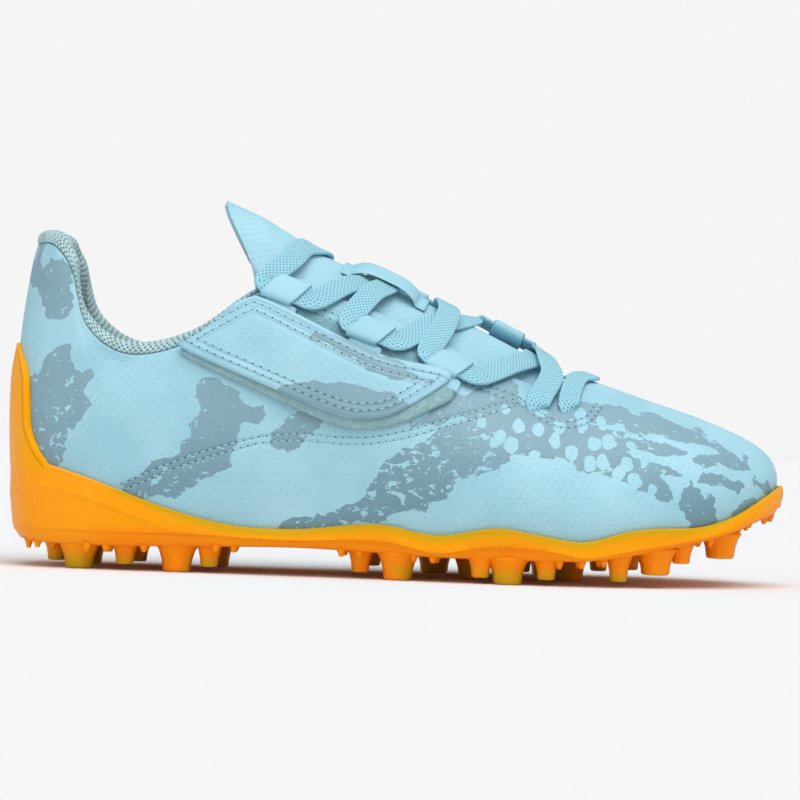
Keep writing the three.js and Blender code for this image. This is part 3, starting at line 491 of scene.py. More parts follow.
# %% Studs and grip nubs
MAIN_STUDS = [
    (-0.4, -0.2), (-0.4, 0.185), (-0.275, -0.25), (-0.235, 0.215), (0.004, -0.335), (0.052, 0.3),
    (0.141, -0.405), (0.2, 0.4), (0.1, -0.06), (0.225, 0.05), (0.327, -0.325), (0.34, 0.335),
    (0.413, -0.16), (0.425, 0.16),
]
SMALL_STUDS = [
    (-0.432, -0.1), (-0.432, 0.09), (-0.341, -0.245), (-0.335, 0.22), (-0.234, -0.26), (-0.33, 0.0),
    (-0.043, -0.29), (-0.03, 0.25), (0.107, -0.41), (0.13, 0.38), (0.189, -0.415), (0.27, 0.4),
    (0.28, -0.375), (0.165, 0.14), (0.3, -0.08), (0.36, -0.29),
]
STUD_PROFILE = [
    # share of the way from tip to flare (-1 is the stud's middle), share of the way up
    (-1, 0), (-0.35, 0), (-0.12, 0.02), (0.0, 0.08), (0.05, 0.24), (0.13, 0.4), (0.28, 0.56),
    (0.48, 0.7), (0.7, 0.82), (0.84, 0.91), (0.5, 1.0),
]
STUD_KINDS = [
    # places, radius of the tip and of the flare, shortfall in height, sides, lobes
    (MAIN_STUDS, 3.9, 7.2, 0, 30, 10),
    (SMALL_STUDS, 2.4, 4.6, 1.7, 24, 8),
]
LOBE_DEPTH = 0.035
LEVEL = 0.98  # a face whose normal stands this straight is a flat tip


def smooth_sides(form):
    """Smooth sides, and flat tips with a clear edge."""
    for face in form.faces:
        face.smooth = abs(face.normal.z) < LEVEL


def stud(form, at, over, tip, flare, shortfall, sides, lobes):
    x, y = at * LENGTH, over * BALL_WIDTH
    under = float(side_height(3, x))
    foot = (0.0 if under < STUD_HEIGHT * 1.25 else under - STUD_HEIGHT) + shortfall
    root = under + PLATE * 0.4
    profile = []
    for out, up in STUD_PROFILE:
        radius = 0 if out == -1 else tip + (flare * 0.9 - tip) * out
        spot = (x + radius, y, foot + (root - foot) * up)
        profile.append(form.verts.new([c * MM for c in spot]))
    edges = [form.edges.new(pair) for pair in zip(profile[:-1], profile[1:])]
    axis_at = (x * MM, y * MM, 0)
    bmesh.ops.spin(
        form, geom=profile + edges, cent=axis_at, axis=(0, 0, 1), angle=2 * math.pi, steps=sides,
        use_merge=True,
    )
    for v in form.verts:
        away = Vector((v.co.x - axis_at[0], v.co.y - axis_at[1]))
        if away.length < flare * 1.3 * MM and v.co.z < (foot + (root - foot) * 0.6) * MM:
            lobed = 1 + LOBE_DEPTH * math.cos(lobes * math.atan2(away.y, away.x))
            v.co.x, v.co.y = axis_at[0] + away.x * lobed, axis_at[1] + away.y * lobed


def studs_mesh():
    whole = bmesh.new()
    for row, *shape in STUD_KINDS:
        for at, over in row:
            form = bmesh.new()
            stud(form, at, over, *shape)
            bmesh.ops.remove_doubles(form, verts=form.verts, dist=MERGED)
            bmesh.ops.recalc_face_normals(form, faces=form.faces)
            one = bpy.data.meshes.new("one_stud")
            form.to_mesh(one)
            form.free()
            whole.from_mesh(one)
            bpy.data.meshes.remove(one)
    return whole


form = studs_mesh()
smooth_sides(form)
studs = finished("outsole_studs", form)

NUB_PITCH = 0.3  # in ribs
NUB_INSETS = (1.7, 7.5)
WAIST = (-0.19, -0.07)  # the plate is bare there, in shares of the length
KEPT_OFF = ((MAIN_STUDS, 6.6), (SMALL_STUDS, 4.4))
NUB_TIP, NUB_ROOT, NUB_DEPTH, NUB_DOWN = 0.55, 1.55, 2.7, 0.45


def nub_places():
    """Places in two staggered lines along the plate's edge, clear of the studs."""
    places = []
    for turn in np.arange(0.4, RIB_COUNT - 0.3, NUB_PITCH):
        foot = skin_point(turn, 0.0)
        if WAIST[0] * LENGTH < foot[0] < WAIST[1] * LENGTH or math.sin(turn * 5.7) > 0.45:
            continue
        inward = -ring_outward(foot_ring, turn)
        for inset in (NUB_INSETS[0] + 0.4 * math.sin(turn * 9), NUB_INSETS[1]):
            x, y, _ = foot + inward * (inset - BAND + STEP * 1.5)
            if all(
                math.hypot(x - at * LENGTH, y - over * BALL_WIDTH) > keep
                for row, keep in KEPT_OFF
                for at, over in row
            ):
                places.append((x, y))
    return places


form = bmesh.new()
for x, y in nub_places():
    spot = (x, y, float(side_height(3, x)) - NUB_DOWN)
    bmesh.ops.create_cone(
        form, cap_ends=True, segments=12, radius1=NUB_TIP * MM, radius2=NUB_ROOT * MM,
        depth=(NUB_DEPTH + 0.5 * math.sin(x)) * MM,
        matrix=Matrix.Translation([c * MM for c in spot]),
    )
smooth_sides(form)
nubs = finished("outsole_nubs", form)
sole_pieces = [dress(sole, "moulding", "outsole"), dress(studs, "moulding"), dress(nubs, "moulding")]

# %% [markdown]
# ## The insole
# The foot bed is die-cut foam with a fabric face. It closes onto a spine like the sole, and its
# face dips a little in the middle, where a heel and a ball have pressed it.

# %% Insole
INSOLE_EDGE = [(0, 0), (0.2, -0.05), (0.6, 0.0), (0.88, 0.12), (1, 0.5)]


def insole_section(turn):
    foot = skin_point(turn, 0 * turn)
    outward = ring_outward(foot_ring, turn)
    section = []
    for up, inside in INSOLE_EDGE:
        point = foot - outward * (WALL + 2.2 * CLEARANCE + inside * INSOLE)
        point[:, 2] = floor_height(foot[:, 0]) + CLEARANCE + up * INSOLE
        section.append(point)
    return np.array(section)


place, rows = ring_with_spine(insole_section, 10)
INSOLE_LAYOUT = (560, 90)
insole = laid_grid("insole_foam", RIB_COUNT * 8, rows, place, size=INSOLE_LAYOUT)
print("insole volume", round(outward_volume(insole)), "mm3")
dress(insole, "foam", "insole")

# %% [markdown]
# ## The upper's relief
# Synthetic leather over a last isn't an even skin. It has soft hollows between last and sole,
# a raised edge where a panel is laid on, and creases where the boot has been opened and bent.
# They could be painted as bump, but the light reads true relief better, so the larger ones move
# the surface itself. Each is a soft trough or ridge along a few places on the outer side.

# %% Creases, seams and soft hollows
QUARTER_SEAM = [
    (-0.344, 0.248), (-0.31, 0.286), (-0.26, 0.337), (-0.21, 0.376), (-0.173, 0.4),
    (-0.123, 0.4125), (-0.08, 0.407), (-0.036, 0.41), (0.014, 0.435), (0.051, 0.465),
    (0.1, 0.501), (0.131, 0.527), (0.15, 0.543),
]
THROAT_SEAM = [
    (-0.118, 0.8), (-0.07, 0.755), (-0.03, 0.705), (0.017, 0.655), (0.067, 0.615),
    (0.111, 0.575), (0.15, 0.545),
]
FRONT_SEAM = [(0.15, 0.543), (0.175, 0.5), (0.205, 0.475), (0.235, 0.492), (0.252, 0.535)]
CREASES = [
    # depth, width, places seen from the side in shares of the length and the heel height
    (0.5, 5.5, [(-0.43, 0.52), (-0.4, 0.6), (-0.36, 0.62)]),
    (0.35, 4.0, [(-0.44, 0.66), (-0.41, 0.72), (-0.38, 0.71)]),
    (-0.35, 5.0, [(-0.3, 0.5), (-0.26, 0.58), (-0.24, 0.64)]),
    (0.4, 6.0, [(0.03, 0.36), (0.05, 0.42), (0.09, 0.46)]),
    (0.35, 5.0, [(0.2, 0.37), (0.245, 0.43), (0.28, 0.5)]),
    (0.25, 4.0, [(0.26, 0.33), (0.3, 0.39), (0.325, 0.45)]),
    (0.3, 6.0, [(-0.15, 0.2), (-0.06, 0.23), (0.03, 0.22)]),
]


def run_along(points):
    """How far along a line of points each of them lies, in millimetres."""
    return np.concatenate([[0], np.cumsum(np.linalg.norm(np.diff(points, axis=0), axis=1))])


def side_curve(path, steps):
    """The curve through places of the side view, in millimetres, with steps for each place."""
    points = np.array([(a, b, 0) for a, b in path]) * (*SIDE_VIEW, 0)
    return open_curve(points, np.linspace(0, 1, steps * len(path)))


def nearest_on(x, z, a, b):
    """The share of the way from a to b that lies nearest to places, and how far away it is."""
    run = b - a
    t = np.clip(((x - a[0]) * run[0] + (z - a[1]) * run[1]) / max(run @ run, 1e-9), 0, 1)
    return t, np.hypot(x - a[0] - t * run[0], z - a[1] - t * run[1])


def line_distance(x, z, line):
    """Distance in millimetres, in the side view, to a line of points."""
    near = np.full(x.shape, 1e9)
    for a, b in zip(line[:-1], line[1:]):
        near = np.minimum(near, nearest_on(x, z, a, b)[1])
    return near


def path_distance(x, z, path):
    return line_distance(x, z, side_curve(path, 12))


def relief(point):
    x, y, z = point[:, 0], point[:, 1], point[:, 2]
    height = np.zeros(len(x))
    for depth, width, path in CREASES:
        height -= depth * np.exp(-((path_distance(x, z, path) / width) ** 2))
    for seam in (QUARTER_SEAM, THROAT_SEAM):
        near = path_distance(x, z, seam)
        height -= 0.28 * np.exp(-(((near - 0.9) / 0.8) ** 2))
    swell = np.sin(x * 0.11 + y * 0.07) * np.sin(z * 0.13 + x * 0.03)
    ripple = 0.5 * np.sin(x * 0.21 + 2) * np.cos(z * 0.24 + y * 0.1)
    return height + 0.16 * (swell + ripple)


at_ball = skin_point(np.array([9.0]), np.array([0.5]))
print("relief at the ball:", round(float(relief(at_ball)[0]), 2), "mm")

# %% [markdown]
# ## The upper
# The shell is one sheet wrapped round the last, with its wall given by Solidify: the outer face
# is synthetic leather and the inner one the lining. A cut sheet could be draped, but the moulded
# heel and toe of such a shoe hold their shape, so the last's surface is already right.

# %% Upper shell
UPPER_COLUMNS, UPPER_ROWS = RIB_COUNT * 15, 78


def upper_face(turn, rise, lift=0.0):
    """A point on the dressed upper, with its creases and seams."""
    quiet = np.clip((1 - rise) / 0.06, 0, 1) * np.clip(rise / 0.08, 0, 1)
    return skin(turn, rise, relief(skin_point(turn, rise)) * quiet - 0.02 + lift)


def upper_place(u, v):
    return upper_face(u * RIB_COUNT, v)


upper = laid_grid("upper_shell", UPPER_COLUMNS, UPPER_ROWS, upper_place, crease_angle=70, start=0.33)
solidify(upper, WALL - 0.1, inner_material=1)
dress(upper, "synthetic_leather", "upper")

# %% [markdown]
# ## The heel cap
# The counter outside the heel is a separate glossy moulding. Its outline narrows upward, as a
# table of half widths says, to a thin peak against the collar, and its edge is rounded over. It
# could be cut out of the sole's cup, but on the real shoe it is another moulding laid on top.

# %% Heel cap
CAP_EDGE = [(0, 1.45), (0.15, 1.2), (0.32, 1.02), (0.6, 0.93), (0.9, 0.8), (1, 0.62)]
CAP_LAYOUT = (60, 45)
PEAK_FROM = 0.66  # share of the height above which the cap narrows and thins


def cap_place(u, v):
    peak = np.clip((v - PEAK_FROM) / (1 - PEAK_FROM), 0, 1) ** 2
    turn = (u - 0.5) * 2 * read_table(CAP_EDGE, 1, v) * (1 - 0.62 * peak)
    bottom = side_height(1, skin_point(turn, 0 * turn)[:, 0]) - 1.5
    turn_there = rise_at_height(turn, bottom + (CAP_TOP - bottom) * v)
    return skin(turn, turn_there, 1.5 * CLEARANCE + (CAP_THICKNESS - 0.1) * (1 - 0.7 * peak))


cap = laid_grid("heel_cap_moulding", 56, 48, cap_place, size=CAP_LAYOUT)
solidify(cap, CAP_THICKNESS + 0.3)
soften(cap, 0.6)
dress(cap, "counter", "heel_cap")

# %% [markdown]
# ## The collar
# The ankle edge is a padded roll of knit mesh that goes on down inside. Its section is closed
# and is swept round the heel, thinner towards both ends. A curve with a bevel could make a plain
# roll, but not the flat padding inside.

# %% Collar
COLLAR_SECTION = [
    # height over the edge in rolls, depth behind the outer face in wall and padding, rise
    (0.02, -0.03, 1), (0.3, -0.09, 1), (0.62, -0.07, 1), (0.88, 0.08, 1), (0.99, 0.34, 1),
    (0.97, 0.64, 1), (0.8, 0.92, 1), (0.5, 1.12, 1), (0.1, 1.24, 0.99), (0, 1.26, 0.93),
    (0, 1.2, 0.86), (0, 1.08, 0.78), (0, 0.92, 0.71), (0, 0.72, 0.65), (0, 0.5, 0.61),
]
COLLAR_END = 6


def collar_place(u, v):
    turn = (u - 0.5) * 2 * COLLAR_END
    kept = 1 - 0.75 * np.abs(2 * u - 1) ** 8
    back = WALL + CLEARANCE
    rows = len(COLLAR_SECTION)
    section = np.array(COLLAR_SECTION)
    outer = open_curve(section, np.clip(v * 2, 0, 1), even=True)
    inner_share = np.clip(v * 2 - 1, 0, 1)
    depth = outer[:, 1] * (WALL + COLLAR_PAD)
    depth = np.where(depth > back, back + (depth - back) * kept, depth)
    pad = 0.22 * np.sin(turn * 2.1) + 0.14 * np.sin(turn * 5.3 + 1)
    depth = depth + np.where(v <= 0.5, pad * np.clip((0.97 - outer[:, 2]) / 0.1, 0, 1), 0)
    above = CLEARANCE + outer[:, 0] * COLLAR_ROLL * kept
    rise = np.clip(outer[:, 2], 0, 1)
    rise_back = 0.61 + (1 - 0.61) * np.clip(inner_share / 0.75, 0, 1)
    over = np.clip((inner_share - 0.75) / 0.25, 0, 1)
    depth = np.where(v > 0.5, back * (1 - over) + 0.02 * over, depth)
    above = np.where(v > 0.5, CLEARANCE * np.clip(inner_share / 0.75, 0, 1), above)
    rise = np.where(v > 0.5, rise_back, rise)
    up = skin_frame(turn, rise)[1]
    return skin(turn, rise, -depth) + up * above[:, None]


def collar_closed(u, v):
    """The section's end meets its start, so the doubled points merge."""
    return collar_place(u, np.where(v > 0.999999, 0.0, v))


collar = laid_grid("collar_knit", 300, 44, collar_closed, crease_angle=80, start=0.5)
print("collar volume", round(outward_volume(collar)), "mm3")
dress(collar, "knit", "collar")

# %% [markdown]
# ## The tongue
# Five lines run along the tongue, and a curve across them gives its arch. The free end is a cut
# edge that stands up over the instep, slightly blunt, with its tip bent back and up as by a hand
# that pulls it. A trough is pressed in below the tip. A flat tongue could be bent over a last
# with cloth simulation, but it is padded and keeps the last's shape.

# %% Tongue
TONGUE_DEPTH = WALL + 3 * CLEARANCE
CROWN_OVER = 0.02
TONGUE_LINES = [
    # edge turn and rise, side turn and rise, crown x and z or crown turn and rise
    ((10.8, 0.84), (12, 0.9), None, (13, 0.9)),
    ((10.3, 0.84), (11.3, 1), None, (13, 1)),
    ((9.9, 0.84), (10.4, 1), (0.165, 0.617), None),
    ((9, 0.84), (9.1, 1), (0.085, 0.7), None),
    ((8, 0.84), (8, 1), (-0.024, 0.803), None),
    ((7, 0.84), (7, 1), (-0.115, 0.888), None),
    ((6.3, 0.87), (6.3, 1), (-0.165, 0.955), None),
]
TONGUE_END = [
    (-0.188, -0.165, 0.765), (-0.187, -0.15, 0.84), (-0.2235, 0.015, 1), (-0.19, 0.165, 0.84),
    (-0.192, 0.175, 0.765),
]


def tongue_line(number):
    points = []
    for edge, side, crown, crown_site in TONGUE_LINES:
        turn, rise = edge if number in (0, 4) else side
        if number == 2 and crown:
            points.append((crown[0] * LENGTH, CROWN_OVER * BALL_WIDTH, crown[1] * TONGUE_HEIGHT))
            continue
        if number == 2:
            turn, rise = crown_site
        points.append(tuple(skin(RIB_COUNT - turn if number > 2 else turn, rise, -TONGUE_DEPTH)))
    x, y, z = TONGUE_END[number]
    return np.array(points + [(x * LENGTH, y * BALL_WIDTH, z * TONGUE_HEIGHT)])


tongue_lines = [tongue_line(number) for number in range(5)]


def tongue_point(along, across):
    along, across = np.broadcast_arrays(np.asarray(along, float), np.asarray(across, float))
    section = np.stack([open_curve(line, along) for line in tongue_lines], -2)
    return open_curve(section, across)


def tongue_frame(along, across):
    held = lambda value: np.clip(value, 0, 1)
    ahead, behind = held(along + NUDGE), held(along - NUDGE)
    back = unit(tongue_point(ahead, across) - tongue_point(behind, across))
    inner, outer = held(across + NUDGE), held(across - NUDGE)
    inward = unit(tongue_point(along, inner) - tongue_point(along, outer))
    return back, inward, unit(np.cross(inward, back))


def on_tongue(along, across, lift=0.0):
    along, across = np.asarray(along, float), np.asarray(across, float)
    out = tongue_frame(along, across)[2]
    return tongue_point(along, across) + out * np.asarray(lift, float)[..., None]


TIP_BEND_FROM = 0.74
TIP_BENDS_BY = np.array([-4.0, 0, 3.2])


def tongue_place(u, v):
    puff = 0.35 * np.sin(np.pi * np.clip((u - 0.25) / 0.75, 0, 1)) * np.sin(np.pi * v)
    puff -= 0.3 * np.exp(-(((u - 0.86) / 0.025) ** 2)) * np.sin(np.pi * v)
    blunt = 1 - 0.026 * np.exp(-(((v - 0.5) / 0.1) ** 2))
    bend = np.clip((u - TIP_BEND_FROM) / (1 - TIP_BEND_FROM), 0, 1) ** 2 * np.sin(np.pi * v) ** 1.5
    return on_tongue(u * blunt, v, puff) + bend[..., None] * TIP_BENDS_BY


tongue = laid_grid("tongue_leather", 150, 60, tongue_place, flip=True, crease_angle=70, start=0.5)
solidify(tongue, TONGUE, inner_material=1)
soften(tongue, 0.5)
dress(tongue, "synthetic_leather", "tongue")

# %% [markdown]
# ## The closing wing
# The wing is two layers: a felt base, and a stitched top layer with its corners rounded. A flat
# outline could be cut with a knife and projected, but a ring of points drawn in towards the
# middle of the outline gives even faces, and puts the roll of the edge just where it belongs.

# %% Wing layers
WING = [
    (-0.285, 0.69), (-0.19, 0.82), (-0.165, 0.8), (-0.03, 0.645), (0.075, 0.597),
    (-0.01, 0.472), (-0.065, 0.465), (-0.28, 0.655),
]
WING_BASE = [
    (-0.278, 0.675), (-0.19, 0.8), (-0.165, 0.79), (-0.03, 0.64), (0.082, 0.55),
    (-0.01, 0.445), (-0.07, 0.437), (-0.275, 0.635),
]
WING_ROUNDING = 0.3
CORNER_STEPS = 9
WING_MIDDLE = (-0.115, 0.64)


def rounded_outline(corners):
    """Points round an outline whose corners are rounded, in millimetres in the side view."""
    corners = np.array(corners) * SIDE_VIEW
    points = []
    for k, corner in enumerate(corners):
        start = corner + (corners[k - 1] - corner) * WING_ROUNDING
        end = corner + (corners[(k + 1) % len(corners)] - corner) * WING_ROUNDING
        for t in np.linspace(0, 1, CORNER_STEPS):
            points.append(start * (1 - t) ** 2 + corner * 2 * t * (1 - t) + end * t * t)
    return np.array(points)


def even_outline(points, count):
    """The same outline with evenly spaced points."""
    closed = np.vstack([points, points[:1]])
    run = run_along(closed)
    want = np.linspace(0, run[-1], count + 1)
    return np.stack([np.interp(want, run, closed[:, axis]) for axis in (0, 1)], -1)


def wing_swell(x, z):
    return 0.12 * np.sin(x * 0.33) * np.sin(z * 0.41 + 1)


def wing_bulge(share, puff):
    edge = np.clip((1 - share) / 0.16, 0, 1)
    return puff * edge * edge * (3 - 2 * edge)


def wing_layer(name, corners, lift, thickness, puff, middle=WING_MIDDLE, count=220):
    outline = even_outline(rounded_outline(corners), count)
    middle = np.array(middle) * SIDE_VIEW
    # share of the way from the middle, height in the layer
    rows = [(0, 1)] + [(s, 1) for s in np.linspace(0.12, 0.88, 14)]
    rows += [(0.93, 1), (0.965, 0.97), (0.985, 0.85), (0.997, 0.62), (1, 0.35), (0.996, 0.1)]
    rows += [(0.985, 0)]
    rows += [(s, 0) for s in (0.9, 0.6, 0.3, 0)]
    rows = np.array(rows)

    def place(u, v):
        k = np.round(u * count).astype(int)
        row = rows[np.round(v * (len(rows) - 1)).astype(int)]
        xz = middle + (outline[k] - middle) * row[:, :1]
        turn, rise = outer_site(xz[:, 0], xz[:, 1])
        height = (thickness + wing_bulge(row[:, 0], puff) + wing_swell(*xz.T)) * row[:, 1]
        return skin(turn, rise, lift + height)

    return laid_grid(name, count, len(rows) - 1, place, size=(200, 20), crease_angle=60)


WING_LIFT, WING_PUFF = STRAP_BASE + CLEARANCE, 0.35
strap_base = wing_layer("strap_felt", WING_BASE, CLEARANCE, STRAP_BASE, 0.1)
strap = wing_layer("strap_leather", WING, WING_LIFT, STRAP, WING_PUFF)
print("wing volumes", round(outward_volume(strap_base)), round(outward_volume(strap)), "mm3")
dress(strap_base, "felt", "strap_base")
dress(strap, "synthetic_leather", "strap")

# %% [markdown]
# ## The lace's loops
# Flat sleeves of webbing hold the lace, three on the wing's upper edge and three on tails that
# come over the tongue from the inner side. Each sleeve is a rounded band, closed both round its
# opening and through its wall. A frame gives its place: the point in its middle, the way along
# it, the way up its height and the way out of the shoe.

# %% Places of the loops
SLEEVE_HEIGHT = LACE_WIDTH + 2 * (WEBBING + CLEARANCE)
SLEEVE_DEPTH = LACE_THICKNESS + 2 * (WEBBING + CLEARANCE)
LOOP_LIFT = CLEARANCE * 2 + SLEEVE_DEPTH / 2
NEAR_LOOPS = [(-0.149, 0.835), (-0.041, 0.72), (0.058, 0.626)]
LOOP_LEAN = -0.38
FAR_LOOPS = [(0.66, 0.635, 18.65), (0.525, 0.6, 17.8), (0.35, 0.555, 16.4)]
FAR_RAISED = (0, 0.8, 1.6)


def loop_frame(point, along, out, **more):
    up = unit(np.cross(out, along))
    return {"point": point + out * LOOP_LIFT, "along": along, "up": up, "out": out, **more}


def near_frame(x, z):
    turn, rise = outer_site(x * LENGTH, z * HEEL_HEIGHT)
    out = skin_frame(turn, rise)[2]
    edge = np.array([1, 0, LOOP_LEAN])
    along = unit(edge - out * (edge @ out))
    return loop_frame(skin_point(turn, rise), along, out)


def far_frame(place, across, turn):
    back, _, out = tongue_frame(place, across)
    return loop_frame(tongue_point(place, across), back, out, turn=turn)


near_frames = [near_frame(x, z) for x, z in NEAR_LOOPS]
far_frames = [far_frame(*row) for row in FAR_LOOPS]
for frame_there, higher in zip(far_frames, FAR_RAISED):
    frame_there["point"] = frame_there["point"] + frame_there["out"] * higher
print("near loops at", [np.round(f["point"], 1).tolist() for f in near_frames])

# %% [markdown]
# ## Ribbons and sleeves
# Lace, tails and keeper are flat ribbons that bend and twist, and a sleeve is a short wide band.
# A curve with a flat bevel could make them, but it twists where the way turns. Here each place
# of a ribbon says which way is out of the shoe, so it always lies flat on what is under it.


# %% Ribbons and sleeves
def ribbon_line(sites, t):
    """The middle, the way out and the way across a flat ribbon through sites, at many t."""
    points, outs = np.array([s[0] for s in sites]), np.array([s[1] for s in sites])
    middle, out = open_curve(points, t), unit(open_curve(outs, t, even=True))
    ahead, behind = np.clip(t + NUDGE, 0, 1), np.clip(t - NUDGE, 0, 1)
    run = open_curve(points, ahead) - open_curve(points, behind)
    across = unit(np.cross(out, unit(run)))
    return middle, unit(np.cross(unit(run), across)), across


def even_steps(sites, count):
    """Values of t that lie evenly along a ribbon, and its length in millimetres."""
    points = np.array([s[0] for s in sites])
    fine = np.linspace(0, 1, 60 * len(sites))
    run = run_along(open_curve(points, fine))
    return np.interp(np.linspace(0, run[-1], count + 1), run, fine), run[-1]


def flat_section(width, thickness, around):
    """A flat section with round edges: even places across and up, counted round it."""
    angle = np.linspace(0, 2 * math.pi, 721)
    across = fat_wave(np.cos(angle), 0.35) * width / 2
    up = fat_wave(np.sin(angle), 0.55) * thickness / 2
    run = np.concatenate([[0], np.cumsum(np.hypot(np.diff(across), np.diff(up)))])
    want = np.linspace(0, run[-1], around + 1)
    return np.interp(want, run, across), np.interp(want, run, up)


def ribbon(name, sites, width, thickness, pitch=0.9, around=20, arch=0.0):
    _, length = even_steps(sites, 8)
    count = max(int(length / pitch), 6)
    steps, length = even_steps(sites, count)
    middle, out, across = ribbon_line(sites, steps)
    side, lift = flat_section(width, thickness, around)

    def place(u, v):
        i, j = np.round(u * count).astype(int), np.round(v * around).astype(int)
        bow = arch * (1 - (2 * side[j] / width) ** 2)
        return middle[i] + across[i] * side[j][:, None] + out[i] * (lift[j] + bow)[:, None]

    size = (length, 2 * (width + thickness))
    piece = laid_grid(name, count, around, place, size=size, crease_angle=80)
    form = bmesh.new()
    form.from_mesh(piece.data)
    bmesh.ops.holes_fill(form, edges=[e for e in form.edges if e.is_boundary], sides=0)
    if form.calc_volume(signed=True) < 0:
        bmesh.ops.reverse_faces(form, faces=form.faces)
    form.to_mesh(piece.data)
    form.free()
    return piece


def fat_wave(wave, power):
    """A wave with flattened tops, which turns a circle into a rounded rectangle."""
    return np.sign(wave) * np.abs(wave) ** power


def sleeve(name, where, lean=0.0):
    """A band of webbing, closed round its opening and through its wall."""
    half_up, half_out = SLEEVE_HEIGHT / 2 - WEBBING / 2, SLEEVE_DEPTH / 2 - WEBBING / 2

    def place(u, v):
        angle, turn = u * 2 * math.pi, v * 2 * math.pi
        up = fat_wave(np.cos(angle), 0.45) * half_up
        out = fat_wave(np.sin(angle), 0.7) * half_out
        away_up, away_out = np.cos(angle) * half_out, np.sin(angle) * half_up
        size = np.hypot(away_up, away_out)
        wall = fat_wave(np.cos(turn), 0.6) * WEBBING / 2
        along = fat_wave(np.sin(turn), 0.25) * LOOP_WIDTH / 2
        along = along * (1 - 0.04 * np.cos(angle * 2)) + lean * up
        return (
            where["point"]
            + np.outer(up + wall * away_up / size, where["up"])
            + np.outer(out + wall * away_out / size, where["out"])
            + np.outer(along, where["along"])
        )

    piece = laid_grid(name, 40, 20, place, size=(20, 20), crease_angle=75)
    if outward_volume(piece) < 0:
        piece.data.flip_normals()
    return piece


def joined(name, pieces):
    form = bmesh.new()
    for piece in pieces:
        form.from_mesh(piece.data)
        bpy.data.objects.remove(piece)
    return finished(name, form)


TAIL_ROOT = [(1, 4.4), (0.93, 2.4), (0.86, 1.6)]  # rise on the upper, lift in webbings
NEAR_TAIL = [(-WEBBING * 0.5, 0.2), (1.5, 0.33), (4.0, 0.36)]  # below the sleeve, back in it
NEAR_LEAN = 0.42


def far_loop(number, where):
    below = lambda distance: (where["point"] - where["up"] * distance, where["out"])
    sites = [below(SLEEVE_HEIGHT / 2 - WEBBING * 0.4), below(SLEEVE_HEIGHT / 2 + 1.2)]
    for rise, lift in TAIL_ROOT:
        out = skin_frame(where["turn"], rise)[2]
        sites.append((skin(where["turn"], rise, lift * WEBBING), out))
    tail = ribbon("tail", sites, LOOP_WIDTH, WEBBING, pitch=0.7)
    return joined(f"far_loop_webbing_{number}", [sleeve("band", where), tail])


def near_loop(number, where):
    sites = []
    for below, back in NEAR_TAIL:
        under = where["point"] - where["up"] * (SLEEVE_HEIGHT / 2 + below)
        sites.append((under - where["out"] * (SLEEVE_DEPTH * back), where["out"]))
    tail = ribbon("tail", sites, LOOP_WIDTH * 1.04, WEBBING, pitch=0.7)
    return joined(f"near_loop_webbing_{number}", [sleeve("band", where, NEAR_LEAN), tail])


loops = []
for number, where in enumerate(near_frames, 1):
    loops.append(dress(near_loop(number, where), "synthetic_leather", f"near_loop_{number}"))
for number, where in enumerate(far_frames, 1):
    loops.append(dress(far_loop(number, where), "synthetic_leather", f"far_loop_{number}"))

# %% [markdown]
# ## The lace
# One flat elastic lace goes from the far front hole through all six loops to the near front
# hole. It is drawn as one ribbon along the whole way, as it is on the real shoe. Its runs pass
# over each other, so each has its own height over the tongue at the crossings.

# %% The lace's way
STUB = LOOP_WIDTH / 2 + LACE_WIDTH * 0.76
HOLE_LIFT = 3 * CLEARANCE
HOLE_HEIGHT = 0.528 * HEEL_HEIGHT
rear_hole = outer_site(0.171 * LENGTH, HOLE_HEIGHT)
front_hole = outer_site(0.211 * LENGTH, HOLE_HEIGHT)


def on_upper(turn, rise, lift):
    return skin(turn, rise, lift + LACE_THICKNESS / 2), skin_frame(turn, rise)[2]


def at_hole(hole, inner, lift=HOLE_LIFT, further=0.0):
    turn, rise = hole
    return on_upper(RIB_COUNT - turn if inner else turn, rise - further, lift)


def over_tongue(along, across, lift):
    return on_tongue(along, across, lift + LACE_THICKNESS / 2), tongue_frame(along, across)[2]


def stub(where, side, share=1.0):
    toward = np.sign(where["along"][0]) * side * STUB * share
    return where["point"] + where["along"] * toward, where["out"]


